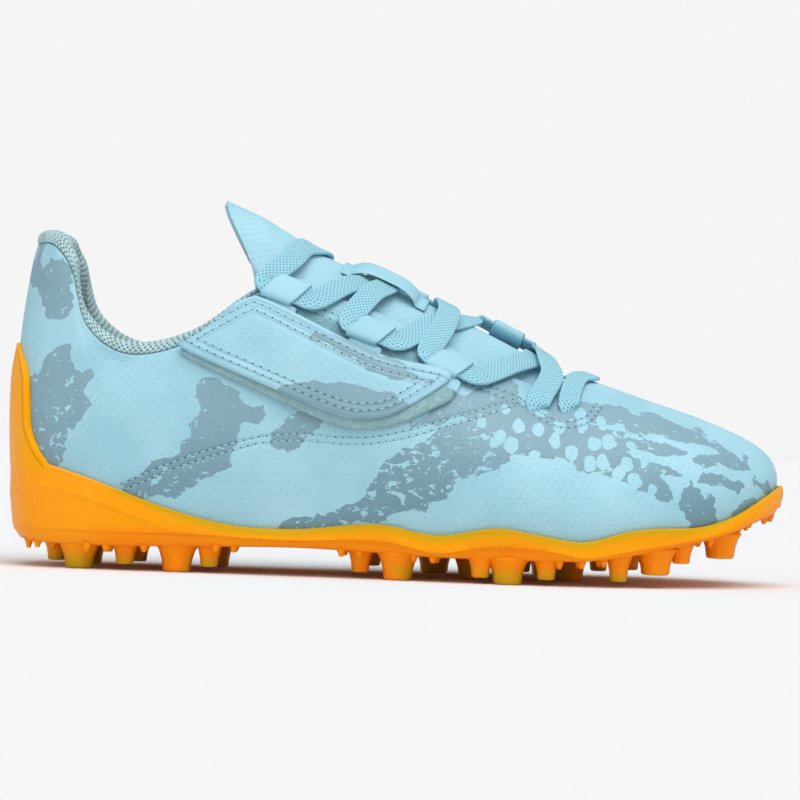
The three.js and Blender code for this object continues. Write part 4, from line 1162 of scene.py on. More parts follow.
near, far = near_frames, far_frames
LACE_WAY = [
    at_hole(rear_hole, True, -1.6, 0.035), at_hole(rear_hole, True, 0.5, 0.01),
    over_tongue(0.26, 0.7, 3.8), over_tongue(0.275, 0.55, 1.2), over_tongue(0.3, 0.42, 0.5),
    over_tongue(0.37, 0.3, 3.4),
    stub(near[2], 1, 0.8), stub(near[2], 0.4), stub(near[2], -0.3), stub(near[2], -0.62),
    over_tongue(0.49, 0.31, 3.9), over_tongue(0.475, 0.42, 2.9), over_tongue(0.475, 0.52, 2.2),
    stub(far[1], 1), stub(far[1], 0.45), stub(far[1], -0.45), stub(far[1], -1),
    over_tongue(0.585, 0.52, 0.5), over_tongue(0.6, 0.42, 0.35), over_tongue(0.655, 0.31, 3.3),
    stub(near[0], 1, 0.8), stub(near[0], 0.4), stub(near[0], -0.3), stub(near[0], -0.6),
    over_tongue(0.81, 0.345, 3.0), over_tongue(0.755, 0.43, 1.1), over_tongue(0.7, 0.54, 1.1),
    stub(far[0], -1), stub(far[0], -0.45), stub(far[0], 0.45), stub(far[0], 1),
    over_tongue(0.572, 0.53, 2.0), over_tongue(0.575, 0.42, 1.65), over_tongue(0.61, 0.31, 3.9),
    stub(near[1], -0.62), stub(near[1], -0.3), stub(near[1], 0.4), stub(near[1], 0.8),
    over_tongue(0.51, 0.3, 3.4), over_tongue(0.46, 0.42, 0.6), over_tongue(0.43, 0.52, 0.8),
    stub(far[2], -1), stub(far[2], -0.45), stub(far[2], 0.45), stub(far[2], 1),
    over_tongue(0.26, 0.5, 2.6), over_tongue(0.28, 0.38, 3.1), over_tongue(0.3, 0.29, 4.6),
    at_hole(rear_hole, False, 0.5, 0.01), at_hole(rear_hole, False, -1.6, 0.035),
]
lace = ribbon("lace_elastic", LACE_WAY, LACE_WIDTH, LACE_THICKNESS, pitch=0.7, around=32)
dress(lace, "elastic", "lace")

BAR_RISE = 0.972
BAR_NARROWER = 0.86
bar_sites = [at_hole(front_hole, False, -1.6, 0.035), at_hole(front_hole, False, 0.5, 0.01)]
for share in (0.33, 0.67, 1, 1.33, 1.67):
    turn = front_hole[0] + (TOE_RIB - front_hole[0]) * share
    bar_sites.append(on_upper(turn, BAR_RISE, 2 * CLEARANCE))
bar_sites += [at_hole(front_hole, True, 0.5, 0.01), at_hole(front_hole, True, -1.6, 0.035)]
lace_bar = ribbon(
    "lace_bar_elastic", bar_sites, LACE_WIDTH * BAR_NARROWER, LACE_THICKNESS, pitch=0.7, around=28
)
dress(lace_bar, "elastic", "lace_bar")

# %% [markdown]
# ## The keeper
# A short strip is stitched to the tongue at both ends, and the lace crosses under its arch.

# %% Keeper
KEEPER_ACROSS, KEEPER_WIDTH, KEEPER_THICKNESS = 0.44, 8, 1
KEEPER_LINE = [
    # place along the tongue, lift
    (0.655, 0.2), (0.64, 0.35), (0.632, 1.6), (0.613, 3.1), (0.578, 3.4), (0.547, 3.1),
    (0.527, 1.6), (0.52, 0.35), (0.505, 0.2),
]
keeper_sites = []
for along, lift in KEEPER_LINE:
    middle = on_tongue(along, KEEPER_ACROSS, lift + KEEPER_THICKNESS / 2)
    keeper_sites.append((middle, tongue_frame(along, KEEPER_ACROSS)[2]))
keeper = ribbon("tongue_keeper_strip", keeper_sites, KEEPER_WIDTH, KEEPER_THICKNESS, pitch=0.5)
dress(keeper, "synthetic_leather", "tongue_keeper")

# %% [markdown]
# ## Seams
# A row of stitches is thread lying on the leather between needle holes. It could be painted, but
# a seam seen close has relief. Each stitch is a stretched small sphere, each needle hole a flat
# dark one, painted shade for the hole, and all of a seam are one mesh. The lines are the seam's
# places on the side of the shoe, and the inner side has the same seams.


# %% Sewing along a line
GAUGE, HOLE = 0.22, 0.3  # half the thread's thickness and half a needle hole's width


def sew(points, outs, pitch, stitch=0.62):
    """A mesh of stitches (first material) and needle holes (second) along points."""
    form = bmesh.new()
    run = run_along(points)
    count = max(int(round(run[-1] / pitch)), 1)
    read = lambda at, table: np.stack([np.interp(at, run, table[:, axis]) for axis in range(3)], -1)

    def bead(at, sizes, lift, material):
        middle, out = read(at, points), unit(read(at, outs))
        way = unit(read(min(at + 0.3, run[-1]), points) - read(max(at - 0.3, 0), points))
        across = unit(np.cross(out, way))
        out = np.cross(way, across)
        columns = [way * sizes[0], across * sizes[1], out * sizes[2], middle + out * lift]
        matrix = Matrix([[c * MM for c in row] for row in np.array(columns).T] + [[0, 0, 0, 1]])
        made = bmesh.ops.create_uvsphere(form, u_segments=8, v_segments=4, radius=1.0, matrix=matrix)
        for face in {f for v in made["verts"] for f in v.link_faces}:
            face.smooth, face.material_index = True, material

    for k in range(count + 1):
        # Each needle hole is a flat dark bead: painted shade where the hole is.
        bead(k * run[-1] / count, (HOLE, HOLE * 0.9, 0.06), 0.06, 1)
        if k < count:
            bead((k + 0.5) * run[-1] / count, (stitch * pitch / 2, GAUGE, GAUGE * 0.75), 0.06, 0)
    return finished("row_of_stitches", form)


def seam_line(path, aside, inner):
    """Points and ways out along a path of the side view, shifted aside by millimetres."""
    line = side_curve(path, 30)
    way = unit(np.gradient(line, axis=0))
    turn, rise = outer_site(line[:, 0] - way[:, 1] * aside, line[:, 1] + way[:, 0] * aside)
    turn = RIB_COUNT - turn if inner else turn
    return upper_face(turn, rise), skin_frame(turn, rise)[2]


sewn_rows = []
for path, aside, pitch in ((QUARTER_SEAM, 0.95, 2.2), (THROAT_SEAM, 0.9, 2.3), (FRONT_SEAM, 0.85, 2.2)):
    for inner in (False, True):
        sewn_rows += [sew(*seam_line(path, side, inner), pitch) for side in (-aside, aside)]
upper_seams = dress(joined("upper_seams", sewn_rows), "synthetic_leather")

# %% [markdown]
# ## The wing's two rows
# The wing is stitched twice round, at two distances from its edge. A row could be a smaller
# copy of the outline, but then its distance would change round the corners. Here each point
# steps in square to the edge, and points that come too near to another side are left out.


# %% The wing's two rows
WING_ROWS = (2.2, 4.1)
ROW_POINTS = 400


def wing_row(inset):
    outline = even_outline(rounded_outline(WING), ROW_POINTS)
    way = unit(np.gradient(outline, axis=0))
    inward = np.stack([way[:, 1], -way[:, 0]], -1)
    middle = np.array(WING_MIDDLE) * SIDE_VIEW
    to_middle = middle - outline
    inward *= np.sign((inward * to_middle).sum(1))[:, None]
    share = 1 - inset / np.maximum((inward * to_middle).sum(1), 1)
    line = outline + inward * inset
    clear = line_distance(*line.T, np.vstack([outline, outline[:1]])) > 0.96 * inset
    line, share = line[clear], share[clear]
    turn, rise = outer_site(line[:, 0], line[:, 1])
    lift = WING_LIFT + STRAP + wing_bulge(share, WING_PUFF) + wing_swell(*line.T)
    return skin(turn, rise, lift), skin_frame(turn, rise)[2]


wing_rows = [sew(*wing_row(inset), 2.5, stitch=0.6) for inset in WING_ROWS]
wing_seams = dress(joined("strap_seams", wing_rows), "synthetic_leather")

# %% [markdown]
# ## The pile under the wing
# The wing holds by hooks on a strip of pile sewn to the quarter. Only its upper edge shows,
# between the loops, as a thin fuzzy teal band. Hair would be too heavy for so little of it, so
# it is one more thin layer with a fibrous finish.

# %% Pile strip
PILE = [(-0.175, 0.77), (-0.155, 0.815), (-0.04, 0.715), (0.085, 0.62), (0.09, 0.585), (-0.04, 0.66)]
pile = wing_layer("quarter_pile", PILE, -0.2, 0.55, 0.1, middle=(-0.04, 0.69), count=120)
dress(pile, "felt")

# %% [markdown]
# ## Numbers for the finishes
# A print, a gradient or a groove has to know where it is on the shoe. A picture could say so,
# but here each point of a piece keeps a plain number, such as how deep it lies inside a printed
# blotch, and the finish turns that soft number into a crisp edge with its own fine noise.


# %% Numbers kept on a piece's points
def points_of(piece):
    flat = np.empty(len(piece.data.vertices) * 3)
    piece.data.vertices.foreach_get("co", flat)
    return flat.reshape(-1, 3) / MM


def keep_number(piece, name, values):
    kept = piece.data.attributes.new(name, "FLOAT", "POINT")
    kept.data.foreach_set("value", np.asarray(values, float))


def blotch_depth(x, z, blotches):
    """How deep, in millimetres, places in the side view lie inside blotches drawn as fat lines."""
    deepest = np.full(x.shape, -30.0)
    for places in blotches:
        for (ax, az, ar), (bx, bz, br) in zip(places[:-1], places[1:]):
            t, away = nearest_on(x, z, np.array([ax, az]) * SIDE_VIEW, np.array([bx, bz]) * SIDE_VIEW)
            deepest = np.maximum(deepest, ar + (br - ar) * t - away)
    return deepest


# %% [markdown]
# ## The print
# The grey print is a plain camouflage: ragged blotches with light flecks, a dotted part beside
# the ball and long streaks over the toe. It is laid out as fat lines, in shares of the length and
# the heel height with a radius in millimetres. The inner side has its own blotches.

# %% Blotches, flecks and dots
HEEL_BLOTCHES = [
    [(-0.466, 0.96, 1.2), (-0.47, 0.9, 2.2), (-0.472, 0.84, 0.8)],
    [(-0.432, 0.9, 2.8), (-0.441, 0.83, 5.0), (-0.436, 0.77, 3.6)],
    [(-0.42, 0.655, 1.6), (-0.436, 0.58, 4.6), (-0.455, 0.5, 6.4), (-0.447, 0.4, 7.2), (-0.438, 0.3, 3.4)],
]
TOE_BLOTCHES = [
    [(0.205, 0.52, 3.4), (0.27, 0.5, 2.6), (0.335, 0.475, 2.7), (0.39, 0.435, 2.0), (0.44, 0.39, 0.7)],
    [(0.225, 0.455, 2.2), (0.28, 0.43, 1.8), (0.33, 0.405, 1.5), (0.36, 0.4, 0.6)],
    [(0.265, 0.395, 0.8), (0.31, 0.37, 1.7), (0.35, 0.345, 0.8)],
    [(0.37, 0.385, 0.8), (0.405, 0.385, 2.0), (0.44, 0.37, 1.0)],
    [(0.385, 0.325, 1.2), (0.42, 0.318, 1.4), (0.44, 0.31, 0.5)],
    [(0.448, 0.33, 0.8), (0.475, 0.3, 1.3), (0.492, 0.265, 0.5)],
    [(0.372, 0.275, 3.6), (0.384, 0.22, 3.9), (0.378, 0.175, 2.6)],
    [(0.425, 0.205, 0.3), (0.436, 0.24, 0.9), (0.45, 0.262, 0.4)],
]
OUTER_BLOTCHES = [
    [(-0.43, 0.5, 2.0), (-0.402, 0.545, 1.9), (-0.39, 0.575, 0.8)],
    [(-0.4, 0.52, 1.0), (-0.405, 0.46, 2.0), (-0.418, 0.4, 1.0)],
    [(-0.238, 0.545, 3.4), (-0.226, 0.46, 6.6), (-0.232, 0.37, 6.6), (-0.265, 0.3, 5.2),
     (-0.32, 0.25, 3.8), (-0.362, 0.19, 1.4)],
    [(-0.21, 0.51, 3.0), (-0.178, 0.475, 2.4)],
    [(-0.14, 0.41, 3.8), (-0.112, 0.465, 3.4), (-0.098, 0.49, 1.4)],
    [(-0.135, 0.15, 1.0), (-0.08, 0.17, 2.2), (-0.025, 0.215, 4.6), (0.02, 0.3, 8.4),
     (0.075, 0.385, 8.6), (0.13, 0.45, 8.2), (0.2, 0.455, 7.6), (0.25, 0.4, 5.6)],
    [(0.25, 0.4, 4.6), (0.295, 0.335, 4.2), (0.335, 0.28, 1.6)],
    [(0.02, 0.46, 1.4), (0.08, 0.52, 3.6), (0.13, 0.55, 5.0)],
]
INNER_BLOTCHES = [
    [(-0.43, 0.46, 2.5), (-0.39, 0.4, 4.2), (-0.35, 0.3, 2.0)],
    [(-0.24, 0.55, 4.0), (-0.19, 0.47, 6.4), (-0.13, 0.4, 5.0), (-0.09, 0.33, 2.0)],
    [(-0.13, 0.72, 2.6), (-0.08, 0.64, 4.4), (-0.02, 0.55, 3.0)],
    [(-0.06, 0.17, 1.4), (0.01, 0.26, 7.0), (0.08, 0.38, 8.6), (0.15, 0.42, 8.0), (0.22, 0.4, 5.4)],
    [(0.25, 0.38, 4.4), (0.29, 0.31, 4.0), (0.33, 0.25, 1.4)],
]
WING_BLOTCHES = [
    [(-0.14, 0.535, 3.0), (-0.1, 0.525, 5.6), (-0.05, 0.5, 6.4), (0.0, 0.49, 4.6)],
    [(-0.105, 0.715, 1.0), (-0.06, 0.675, 2.4), (-0.01, 0.62, 3.0), (0.035, 0.59, 1.6)],
]
FLECKED = [
    [(-0.14, 0.14, 6.0), (0.0, 0.27, 14.0), (0.08, 0.4, 12.0)],
    [(-0.26, 0.3, 7.0), (-0.37, 0.18, 7.0)],
    [(-0.43, 0.4, 9.0), (-0.42, 0.34, 7.0)],
]
DOTTED = [[(0.12, 0.46, 7.0), (0.19, 0.44, 15.0), (0.29, 0.33, 10.0)]]


def print_numbers(piece):
    """Depth inside the print, and how flecked and how dotted it is there."""
    x, y, z = points_of(piece).T
    ends = blotch_depth(x, z, HEEL_BLOTCHES + TOE_BLOTCHES)
    outer = np.maximum(ends, blotch_depth(x, z, OUTER_BLOTCHES))
    inner = np.maximum(ends, blotch_depth(x, z, INNER_BLOTCHES))
    side = np.clip(y / 6 + 0.5, 0, 1)
    keep_number(piece, "print_depth", outer * (1 - side) + inner * side)
    keep_number(piece, "flecked", np.clip(blotch_depth(x, z, FLECKED) / 3, 0, 1))
    keep_number(piece, "dotted", np.clip(blotch_depth(x, z, DOTTED) / 3, 0, 1))


print_numbers(upper)
upper_x, _, upper_z = points_of(upper).T
seam_paths = (QUARTER_SEAM, THROAT_SEAM, FRONT_SEAM)
from_seams = [path_distance(upper_x, upper_z, path) for path in seam_paths]
keep_number(upper, "from_seam", np.min(from_seams, axis=0))
wing_x, _, wing_z = points_of(strap).T
wing_edge = even_outline(rounded_outline(WING), 220)
keep_number(strap, "print_depth", blotch_depth(wing_x, wing_z, WING_BLOTCHES))
keep_number(strap, "from_edge", line_distance(wing_x, wing_z, wing_edge))

for piece in sole_pieces:
    x, y, z = points_of(piece).T
    keep_number(piece, "below_rim", side_height(1, x) - z)
    keep_number(piece, "below_step", side_height(2, x) - z)

ROUND_THE_HEEL = 1.35  # the curved way is this much longer than the width seen from behind
cap_laid = np.zeros(len(cap.data.vertices))
for corner, laid in zip(cap.data.loops, cap.data.uv_layers["laid"].data):
    cap_laid[corner.vertex_index] = laid.uv[0]
_, cap_y, cap_z = points_of(cap).T
to_side = np.abs(cap_laid / CAP_LAYOUT[0] - 0.5) * 2
cap_width = np.array([np.abs(cap_y[np.abs(cap_z - height) < 1.5]).max() for height in cap_z])
keep_number(cap, "from_edge", (1 - to_side) * cap_width * ROUND_THE_HEEL)
print("numbers kept for the print, the wing, the sole and the heel cap")

# %% [markdown]
# ## Shader sums in Python
# A finish is a graph of nodes. Wiring it by hand is long, so one small class wraps an output
# socket and lets Python's own signs add the Math nodes, and one method makes any other node:
# its type, its settings and then what its sockets hold.


# %% A strand and a finish
def sign(operation, swapped=False):
    """One of Python's signs, made into a Math node."""

    def made(strand, *others):
        terms = (*others, strand) if swapped else (strand, *others)
        return strand.finish.sum_of(operation, *terms)

    return made


class Strand:
    """One output of a shader node, used like a number."""

    def __init__(self, finish, socket):
        self.finish, self.socket = finish, socket

    __add__ = __radd__ = sign("ADD")
    __mul__ = __rmul__ = sign("MULTIPLY")
    __sub__, __rsub__ = sign("SUBTRACT"), sign("SUBTRACT", swapped=True)
    __abs__ = sign("ABSOLUTE")


class Finish:
    """One material of the shoe, on the object's own place in metres."""

    def __init__(self, name):
        self.material = bpy.data.materials.new(name)
        self.material.use_nodes = True
        self.tree = self.material.node_tree
        self.surface = self.tree.nodes["Principled BSDF"]
        self.place = self.node("ShaderNodeTexCoord", output="Object")

    def node(self, kind, settings=None, inputs=None, output=0):
        made = self.tree.nodes.new(kind)
        for name, value in (settings or {}).items():
            setattr(made, name, value)
        for name, value in (inputs or {}).items():
            self.plug(made.inputs[name], value)
        return Strand(self, made.outputs[output])

    def plug(self, socket, value):
        if isinstance(value, Strand):
            self.tree.links.new(value.socket, socket)
        elif socket.type == "RGBA":
            socket.default_value = (*value[:3], 1)
        else:
            socket.default_value = value

    def sum_of(self, operation, *terms):
        return self.node("ShaderNodeMath", {"operation": operation}, dict(enumerate(terms)))

    def larger(self, first, second):
        return self.sum_of("MAXIMUM", first, second)

    def ease(self, value, low, high, start=0.0, end=1.0):
        """A soft step from start to end while the value goes from low to high."""
        inputs = {0: value, 1: low, 2: high, 3: start, 4: end}
        return self.node("ShaderNodeMapRange", {"interpolation_type": "SMOOTHSTEP"}, inputs)

    def blend(self, share, first, second):
        inputs = {0: share, 6: first, 7: second}
        return self.node("ShaderNodeMix", {"data_type": "RGBA"}, inputs, output=2)

    def number(self, name):
        return self.node("ShaderNodeAttribute", {"attribute_name": name}, output="Fac")

    def laid(self):
        return self.node("ShaderNodeUVMap", {"uv_map": "laid"})

    def scaled(self, place, factors):
        return self.node("ShaderNodeVectorMath", {"operation": "MULTIPLY"}, {0: place, 1: factors})

    def turned(self, place, degrees):
        """The place turned about Z, which makes a square lattice a staggered one."""
        inputs = {0: place, "Rotation": (0, 0, math.radians(degrees))}
        return self.node("ShaderNodeMapping", {"vector_type": "POINT"}, inputs)

    def parts(self, place):
        split = self.node("ShaderNodeSeparateXYZ", inputs={0: place})
        return [Strand(self, socket) for socket in split.socket.node.outputs]

    def joined_place(self, x, y, z=0.0):
        return self.node("ShaderNodeCombineXYZ", inputs={0: x, 1: y, 2: z})

    def noise(self, size, detail=2.0, rough=0.5, place=None, warp=0.0):
        inputs = {"Vector": place or self.place, "Scale": 1 / (size * MM)}
        inputs |= {"Detail": detail, "Roughness": rough, "Distortion": warp}
        return self.node("ShaderNodeTexNoise", {}, inputs)

    def cells(self, size, place=None, feature="F1", random=1.0, flat=False, unit=MM):
        settings = {"feature": feature, "voronoi_dimensions": "2D" if flat else "3D"}
        inputs = {"Vector": place or self.place, "Scale": 1 / (size * unit), "Randomness": random}
        return self.node("ShaderNodeTexVoronoi", settings, inputs)

    def surface_is(self, height=None, **values):
        """Plugs the surface's sockets by name, and a height in millimetres as its relief."""
        for name, value in values.items():
            self.plug(self.surface.inputs[name.replace("_", " ")], value)
        if height is not None:
            inputs = {"Strength": 1.0, "Distance": MM, "Height": height}
            self.plug(self.surface.inputs["Normal"], self.node("ShaderNodeBump", {}, inputs))
        return self.material


def paint(red, green, blue):
    """A colour as it looks on a screen, made into the light that a shader counts in."""
    return tuple(((c / 255 + 0.055) / 1.055) ** 2.4 for c in (red, green, blue))


def wears(piece, *materials):
    for material in materials:
        piece.data.materials.append(material)
    print(piece.name, "wears", ", ".join(material.name for material in materials))


# %% [markdown]
# ## Synthetic leather
# The upper is a coated microfibre: matt, with a very fine grain, soft colour drift and rows of
# tiny pressed pin marks. The print lies on it as a thin flat film, a touch smoother. Everything
# is measured in millimetres, so the grain keeps its real scale.

# %% Leather, plain and printed
SKY = paint(163, 209, 223)
SKY_DEEP = paint(148, 198, 213)
# A lighter, paler tone: painted sheen on the grain's crests.
SKY_GRAIN_SHEEN = paint(182, 221, 230)
PRINT = paint(130, 164, 177)
# The print in painted shade, low on the upper.
PRINT_SHADED = paint(100, 140, 156)
THREAD = paint(168, 208, 220)
# The needle holes' dark is painted shade in the holes.
NEEDLE_HOLE = paint(38, 84, 104)
SWAY = 0.0022  # how far the print's dots stray from their lattice, in metres


def leather(
    name, printed=None, marks=None, cut=False, sewn=False, tones=(SKY_DEEP, SKY, SKY_GRAIN_SHEEN)
):
    """A finish with the print whole or broken, and pin marks laid flat or seen from the side."""
    finish = Finish(name)
    deep, sky, grain_sheen = tones
    grain = finish.noise(0.42, detail=3, rough=0.6)
    pebble = finish.cells(0.75, feature="SMOOTH_F1")
    drift = finish.noise(22, detail=2)
    colour = finish.blend(finish.ease(drift, 0.3, 0.7), deep, sky)
    # The grain's crests take the pale tone: painted sheen.
    colour = finish.blend(finish.ease(grain, 0.45, 0.8, 0, 0.35), colour, grain_sheen)
    rough = finish.ease(drift, 0.3, 0.7, 0.5, 0.58)
    height = grain * 0.035 + pebble * 0.05
    x, y, z = finish.parts(finish.place)
    side_view = finish.joined_place(x, z)
    if marks:
        place = finish.laid() if marks == "laid" else side_view
        unit = 1 if marks == "laid" else MM
        pins = finish.cells(1.9, finish.turned(place, 45), random=0.12, flat=True, unit=unit)
        dent = finish.ease(pins, 0.17, 0.06)
        if cut:
            dent = dent * finish.ease(finish.number("from_edge"), 5.6, 6.2)
        height = height - dent * 0.1
        # The pin marks are darker: painted shade in the dents.
        colour = finish.blend(dent * 0.14, colour, PRINT)
    if printed:
        depth = finish.number("print_depth")
        stretched = finish.scaled(finish.place, (0.55, 1, 1))
        ragged = (finish.noise(5.5, detail=2, rough=0.55, place=stretched) - 0.5) * 8.5
        ragged = ragged + (finish.noise(1.6, detail=1, rough=0.5) - 0.5) * 1.6
        film = finish.ease(depth + ragged, -0.12, 0.12)
        if printed == "broken":
            torn = finish.noise(2.1, detail=3, rough=0.6, place=stretched, warp=0.4)
            few = finish.noise(1.9, detail=2, rough=0.5)
            fleck = finish.ease(torn - (1 - finish.number("flecked") * 0.1) * 0.66, -0.012, 0.012)
            fleck = finish.larger(fleck, finish.ease(few + finish.number("flecked") * 0.03, 0.70, 0.715))
            inputs = {"Vector": side_view, "Scale": 1 / (4 * MM), "Detail": 1.0}
            lumpy = finish.node("ShaderNodeTexNoise", {}, inputs, output="Color")
            inputs = {0: lumpy, 1: (SWAY, SWAY, 0), 2: side_view}
            swayed = finish.node("ShaderNodeVectorMath", {"operation": "MULTIPLY_ADD"}, inputs)
            lattice = finish.turned(finish.scaled(swayed, (1, 0.86, 1)), 24)
            dots = finish.cells(5.0, lattice, random=0.62, flat=True)
            dot_size = finish.number("dotted") * (0.18 + finish.noise(9, detail=1) * 0.34)
            dot = finish.ease(dots - dot_size, 0.012, -0.012)
            film = film * (1 - finish.larger(fleck, dot))
        # The print darkens towards the bottom of the upper: painted shade.
        shaded_print = finish.blend(finish.ease(z, 0.012, 0.052), PRINT_SHADED, PRINT)
        colour = finish.blend(film, colour, finish.blend(grain * 0.5, shaded_print, PRINT))
        rough = rough - film * 0.05
        height = height + film * 0.02
    if sewn:
        pulled = finish.ease(abs(finish.number("from_seam") - 0.92), 0.75, 0.1)
        height = height - pulled * 0.16
    if cut:
        for inset in WING_ROWS:
            height = height - finish.ease(abs(finish.number("from_edge") - inset), 0.8, 0.1) * 0.16
        edge = finish.ease(finish.number("from_edge"), 0.55, 0.3)
        cut_edge = finish.blend(grain, paint(128, 176, 194), paint(158, 200, 214))
        colour = finish.blend(edge, colour, cut_edge)
        rough = rough + edge * 0.25
    return finish.surface_is(
        height, Base_Color=colour, Roughness=rough, Specular_IOR_Level=0.42, Sheen_Weight=0.0
    )


printed_leather = leather("printed_leather", printed="broken", marks="laid", sewn=True)
wing_leather = leather("wing_leather", printed="plain", marks="side", cut=True)
tongue_skin = leather("tongue_leather_skin", marks="laid")
# The third tone, as on the upper, is the painted sheen on the grain's crests.
TAB_TONES = (paint(143, 194, 209), paint(156, 205, 219), paint(176, 216, 227))
tab_leather = leather("tab_leather", tones=TAB_TONES)


def thread_finish(name, colour, rough):
    """Twisted thread, or the painted shade of a needle hole: a tone that drifts, with a fibre's relief."""
    finish = Finish(name)
    twist = finish.noise(0.2, detail=2, rough=0.7)
    tone = finish.blend(twist * 0.5, colour, PRINT)
    return finish.surface_is(twist * 0.05, Base_Color=tone, Roughness=rough)


sewing_thread = thread_finish("sewing_thread", THREAD, 0.65)
needle_hole = thread_finish("needle_hole", NEEDLE_HOLE, 0.9)
print("leather finishes:", printed_leather.name, wing_leather.name, tongue_skin.name, tab_leather.name)

# %% [markdown]
# ## Knit, lining, felt and foam
# The collar's cover is an open mesh knit: a pale face with small staggered holes, painted dark as
# the foam behind them lying in shade. The lining is the same family, closer. Felt and pile are
# short loose fibres: noise at the scale of a fibre, a strong relief and a little sheen.


# %% Cloths
def mesh_knit(name, pitch, light, dark, hole=0.3):
    finish = Finish(name)
    laid = finish.turned(finish.laid(), 45)
    wobble = finish.noise(5, detail=2)
    lattice = finish.cells(pitch, laid, random=0.12, flat=True, unit=1)
    opening = finish.ease(lattice, hole + 0.1, hole - 0.1)
    yarn = finish.noise(0.28, detail=2, rough=0.7)
    colour = finish.blend(finish.ease(wobble + yarn * 0.4, 0.5, 0.9), light, paint(176, 200, 197))
    # The openings are painted shade: the foam behind the knit, lying in shadow.
    colour = finish.blend(opening * finish.ease(wobble, 0.25, 0.5, 0.65, 1.0), colour, dark)
    height = lattice * 0.35 + yarn * 0.05
    return finish.surface_is(
        height, Base_Color=colour, Roughness=0.86, Specular_IOR_Level=0.25, Sheen_Weight=0.15,
        Sheen_Roughness=0.5,
    )


def fibres(name, dark, light, size, lift=0.5):
    finish = Finish(name)
    tuft = finish.noise(size, detail=4, rough=0.75, warp=0.6)
    clump = finish.noise(size * 5, detail=2, rough=0.6)
    colour = finish.blend(finish.ease(tuft * 0.7 + clump * 0.3, 0.34, 0.66), dark, light)
    height = tuft * lift + clump * lift * 0.6
    return finish.surface_is(
        height, Base_Color=colour, Roughness=0.95, Specular_IOR_Level=0.15, Sheen_Weight=0.35,
        Sheen_Roughness=0.6,
    )


collar_mesh = mesh_knit("collar_mesh_knit", 1.15, paint(188, 220, 226), paint(82, 124, 134))
lining_mesh = mesh_knit("lining_mesh_knit", 1.0, paint(170, 194, 192), paint(84, 112, 116), hole=0.24)
wing_felt = fibres("wing_felt", paint(128, 170, 178), paint(172, 208, 212), size=0.45)
pile_cloth = fibres("pile_cloth", paint(104, 176, 194), paint(166, 220, 230), size=0.35, lift=0.8)
foam_cover = mesh_knit("foam_cover_knit", 0.9, paint(116, 140, 147), paint(88, 108, 115), hole=0.22)
print("cloths:", collar_mesh.name, lining_mesh.name, wing_felt.name, pile_cloth.name, foam_cover.name)

# %% [markdown]
# ## The moulding
# The sole is one soft clear-orange moulding. Its thin upper rim lets light through and looks
# yellow green, the band is amber and the thick plate orange. Two kept numbers, how far a point
# lies below the rim and below the band's lower edge, carry that change round the whole shoe.

# %% Sole, studs and heel cap
def moulding(name, tipped=False):
    finish = Finish(name)
    below_rim, below_step = finish.number("below_rim"), finish.number("below_step")
    drift = finish.noise(16, detail=2)
    amber = finish.blend(drift, paint(252, 166, 0), paint(248, 154, 0))
    x, y, z = finish.parts(finish.place)
    at_heel = finish.ease(x, -0.076, -0.094)
    under_rim = finish.ease(below_rim + drift * 0.8 + at_heel * 4, 0.9, 3.8)
    rim = finish.blend(under_rim, paint(206, 158, 2), amber)
    orange = finish.blend(drift, paint(255, 150, 8), paint(255, 138, 4))
    colour = finish.blend(finish.ease(below_step + drift * 1.2, -0.6, 1.8), rim, orange)
    heel = finish.blend(drift, paint(255, 164, 26), paint(255, 156, 14))
    colour = finish.blend(at_heel * 0.85, colour, heel)
    if tipped:
        near_floor = finish.ease(z, 0.006, 0.0014)
        patchy = finish.ease(finish.noise(24, detail=1), 0.36, 0.48)
        colour = finish.blend(near_floor * patchy * 0.8, colour, paint(188, 160, 20))
    scuff = finish.noise(1.1, detail=3, rough=0.65)
    rough = finish.ease(scuff, 0.4, 0.7, 0.34, 0.46)
    ridge = finish.ease(abs(below_rim - 6.2), 1.3, 0.1) * finish.ease(x, -0.035, -0.07)
    height = finish.noise(0.5, detail=2) * 0.03 + finish.noise(3.5, detail=2) * 0.1 + ridge * 0.16
    return finish.surface_is(height, Base_Color=colour, Roughness=rough, Specular_IOR_Level=0.12)


def cap_moulding():
    finish = Finish("cap_amber_moulding")
    drift = finish.noise(18, detail=2)
    colour = finish.blend(drift, paint(255, 172, 0), paint(255, 163, 0))
    groove = finish.ease(abs(finish.number("from_edge") - 2.2), 0.42, 0.12)
    # The groove is darker: painted shade in it, beside its relief.
    colour = finish.blend(groove * 0.55, colour, paint(214, 120, 4))
    height = finish.noise(0.45, detail=2) * 0.03 - groove * 0.4
    rough = finish.ease(finish.noise(1.4, detail=3), 0.4, 0.7, 0.32, 0.42)
    return finish.surface_is(height, Base_Color=colour, Roughness=rough, Specular_IOR_Level=0.08)


sole_moulding = moulding("sole_moulding")
stud_moulding = moulding("stud_moulding", tipped=True)
heel_cap_amber = cap_moulding()
print("mouldings:", sole_moulding.name, stud_moulding.name, heel_cap_amber.name)

# %% [markdown]
# ## Woven elastic
# The lace is woven flat: two fields of slanted ribs that meet in its middle, with small open
# holes between the yarns. Its flat layout gives millimetres along and round the ribbon, so the
# weave runs along the lace through every bend.


# %% Lace
RIB_PITCH = 1.4  # from one slanted rib of the weave to the next


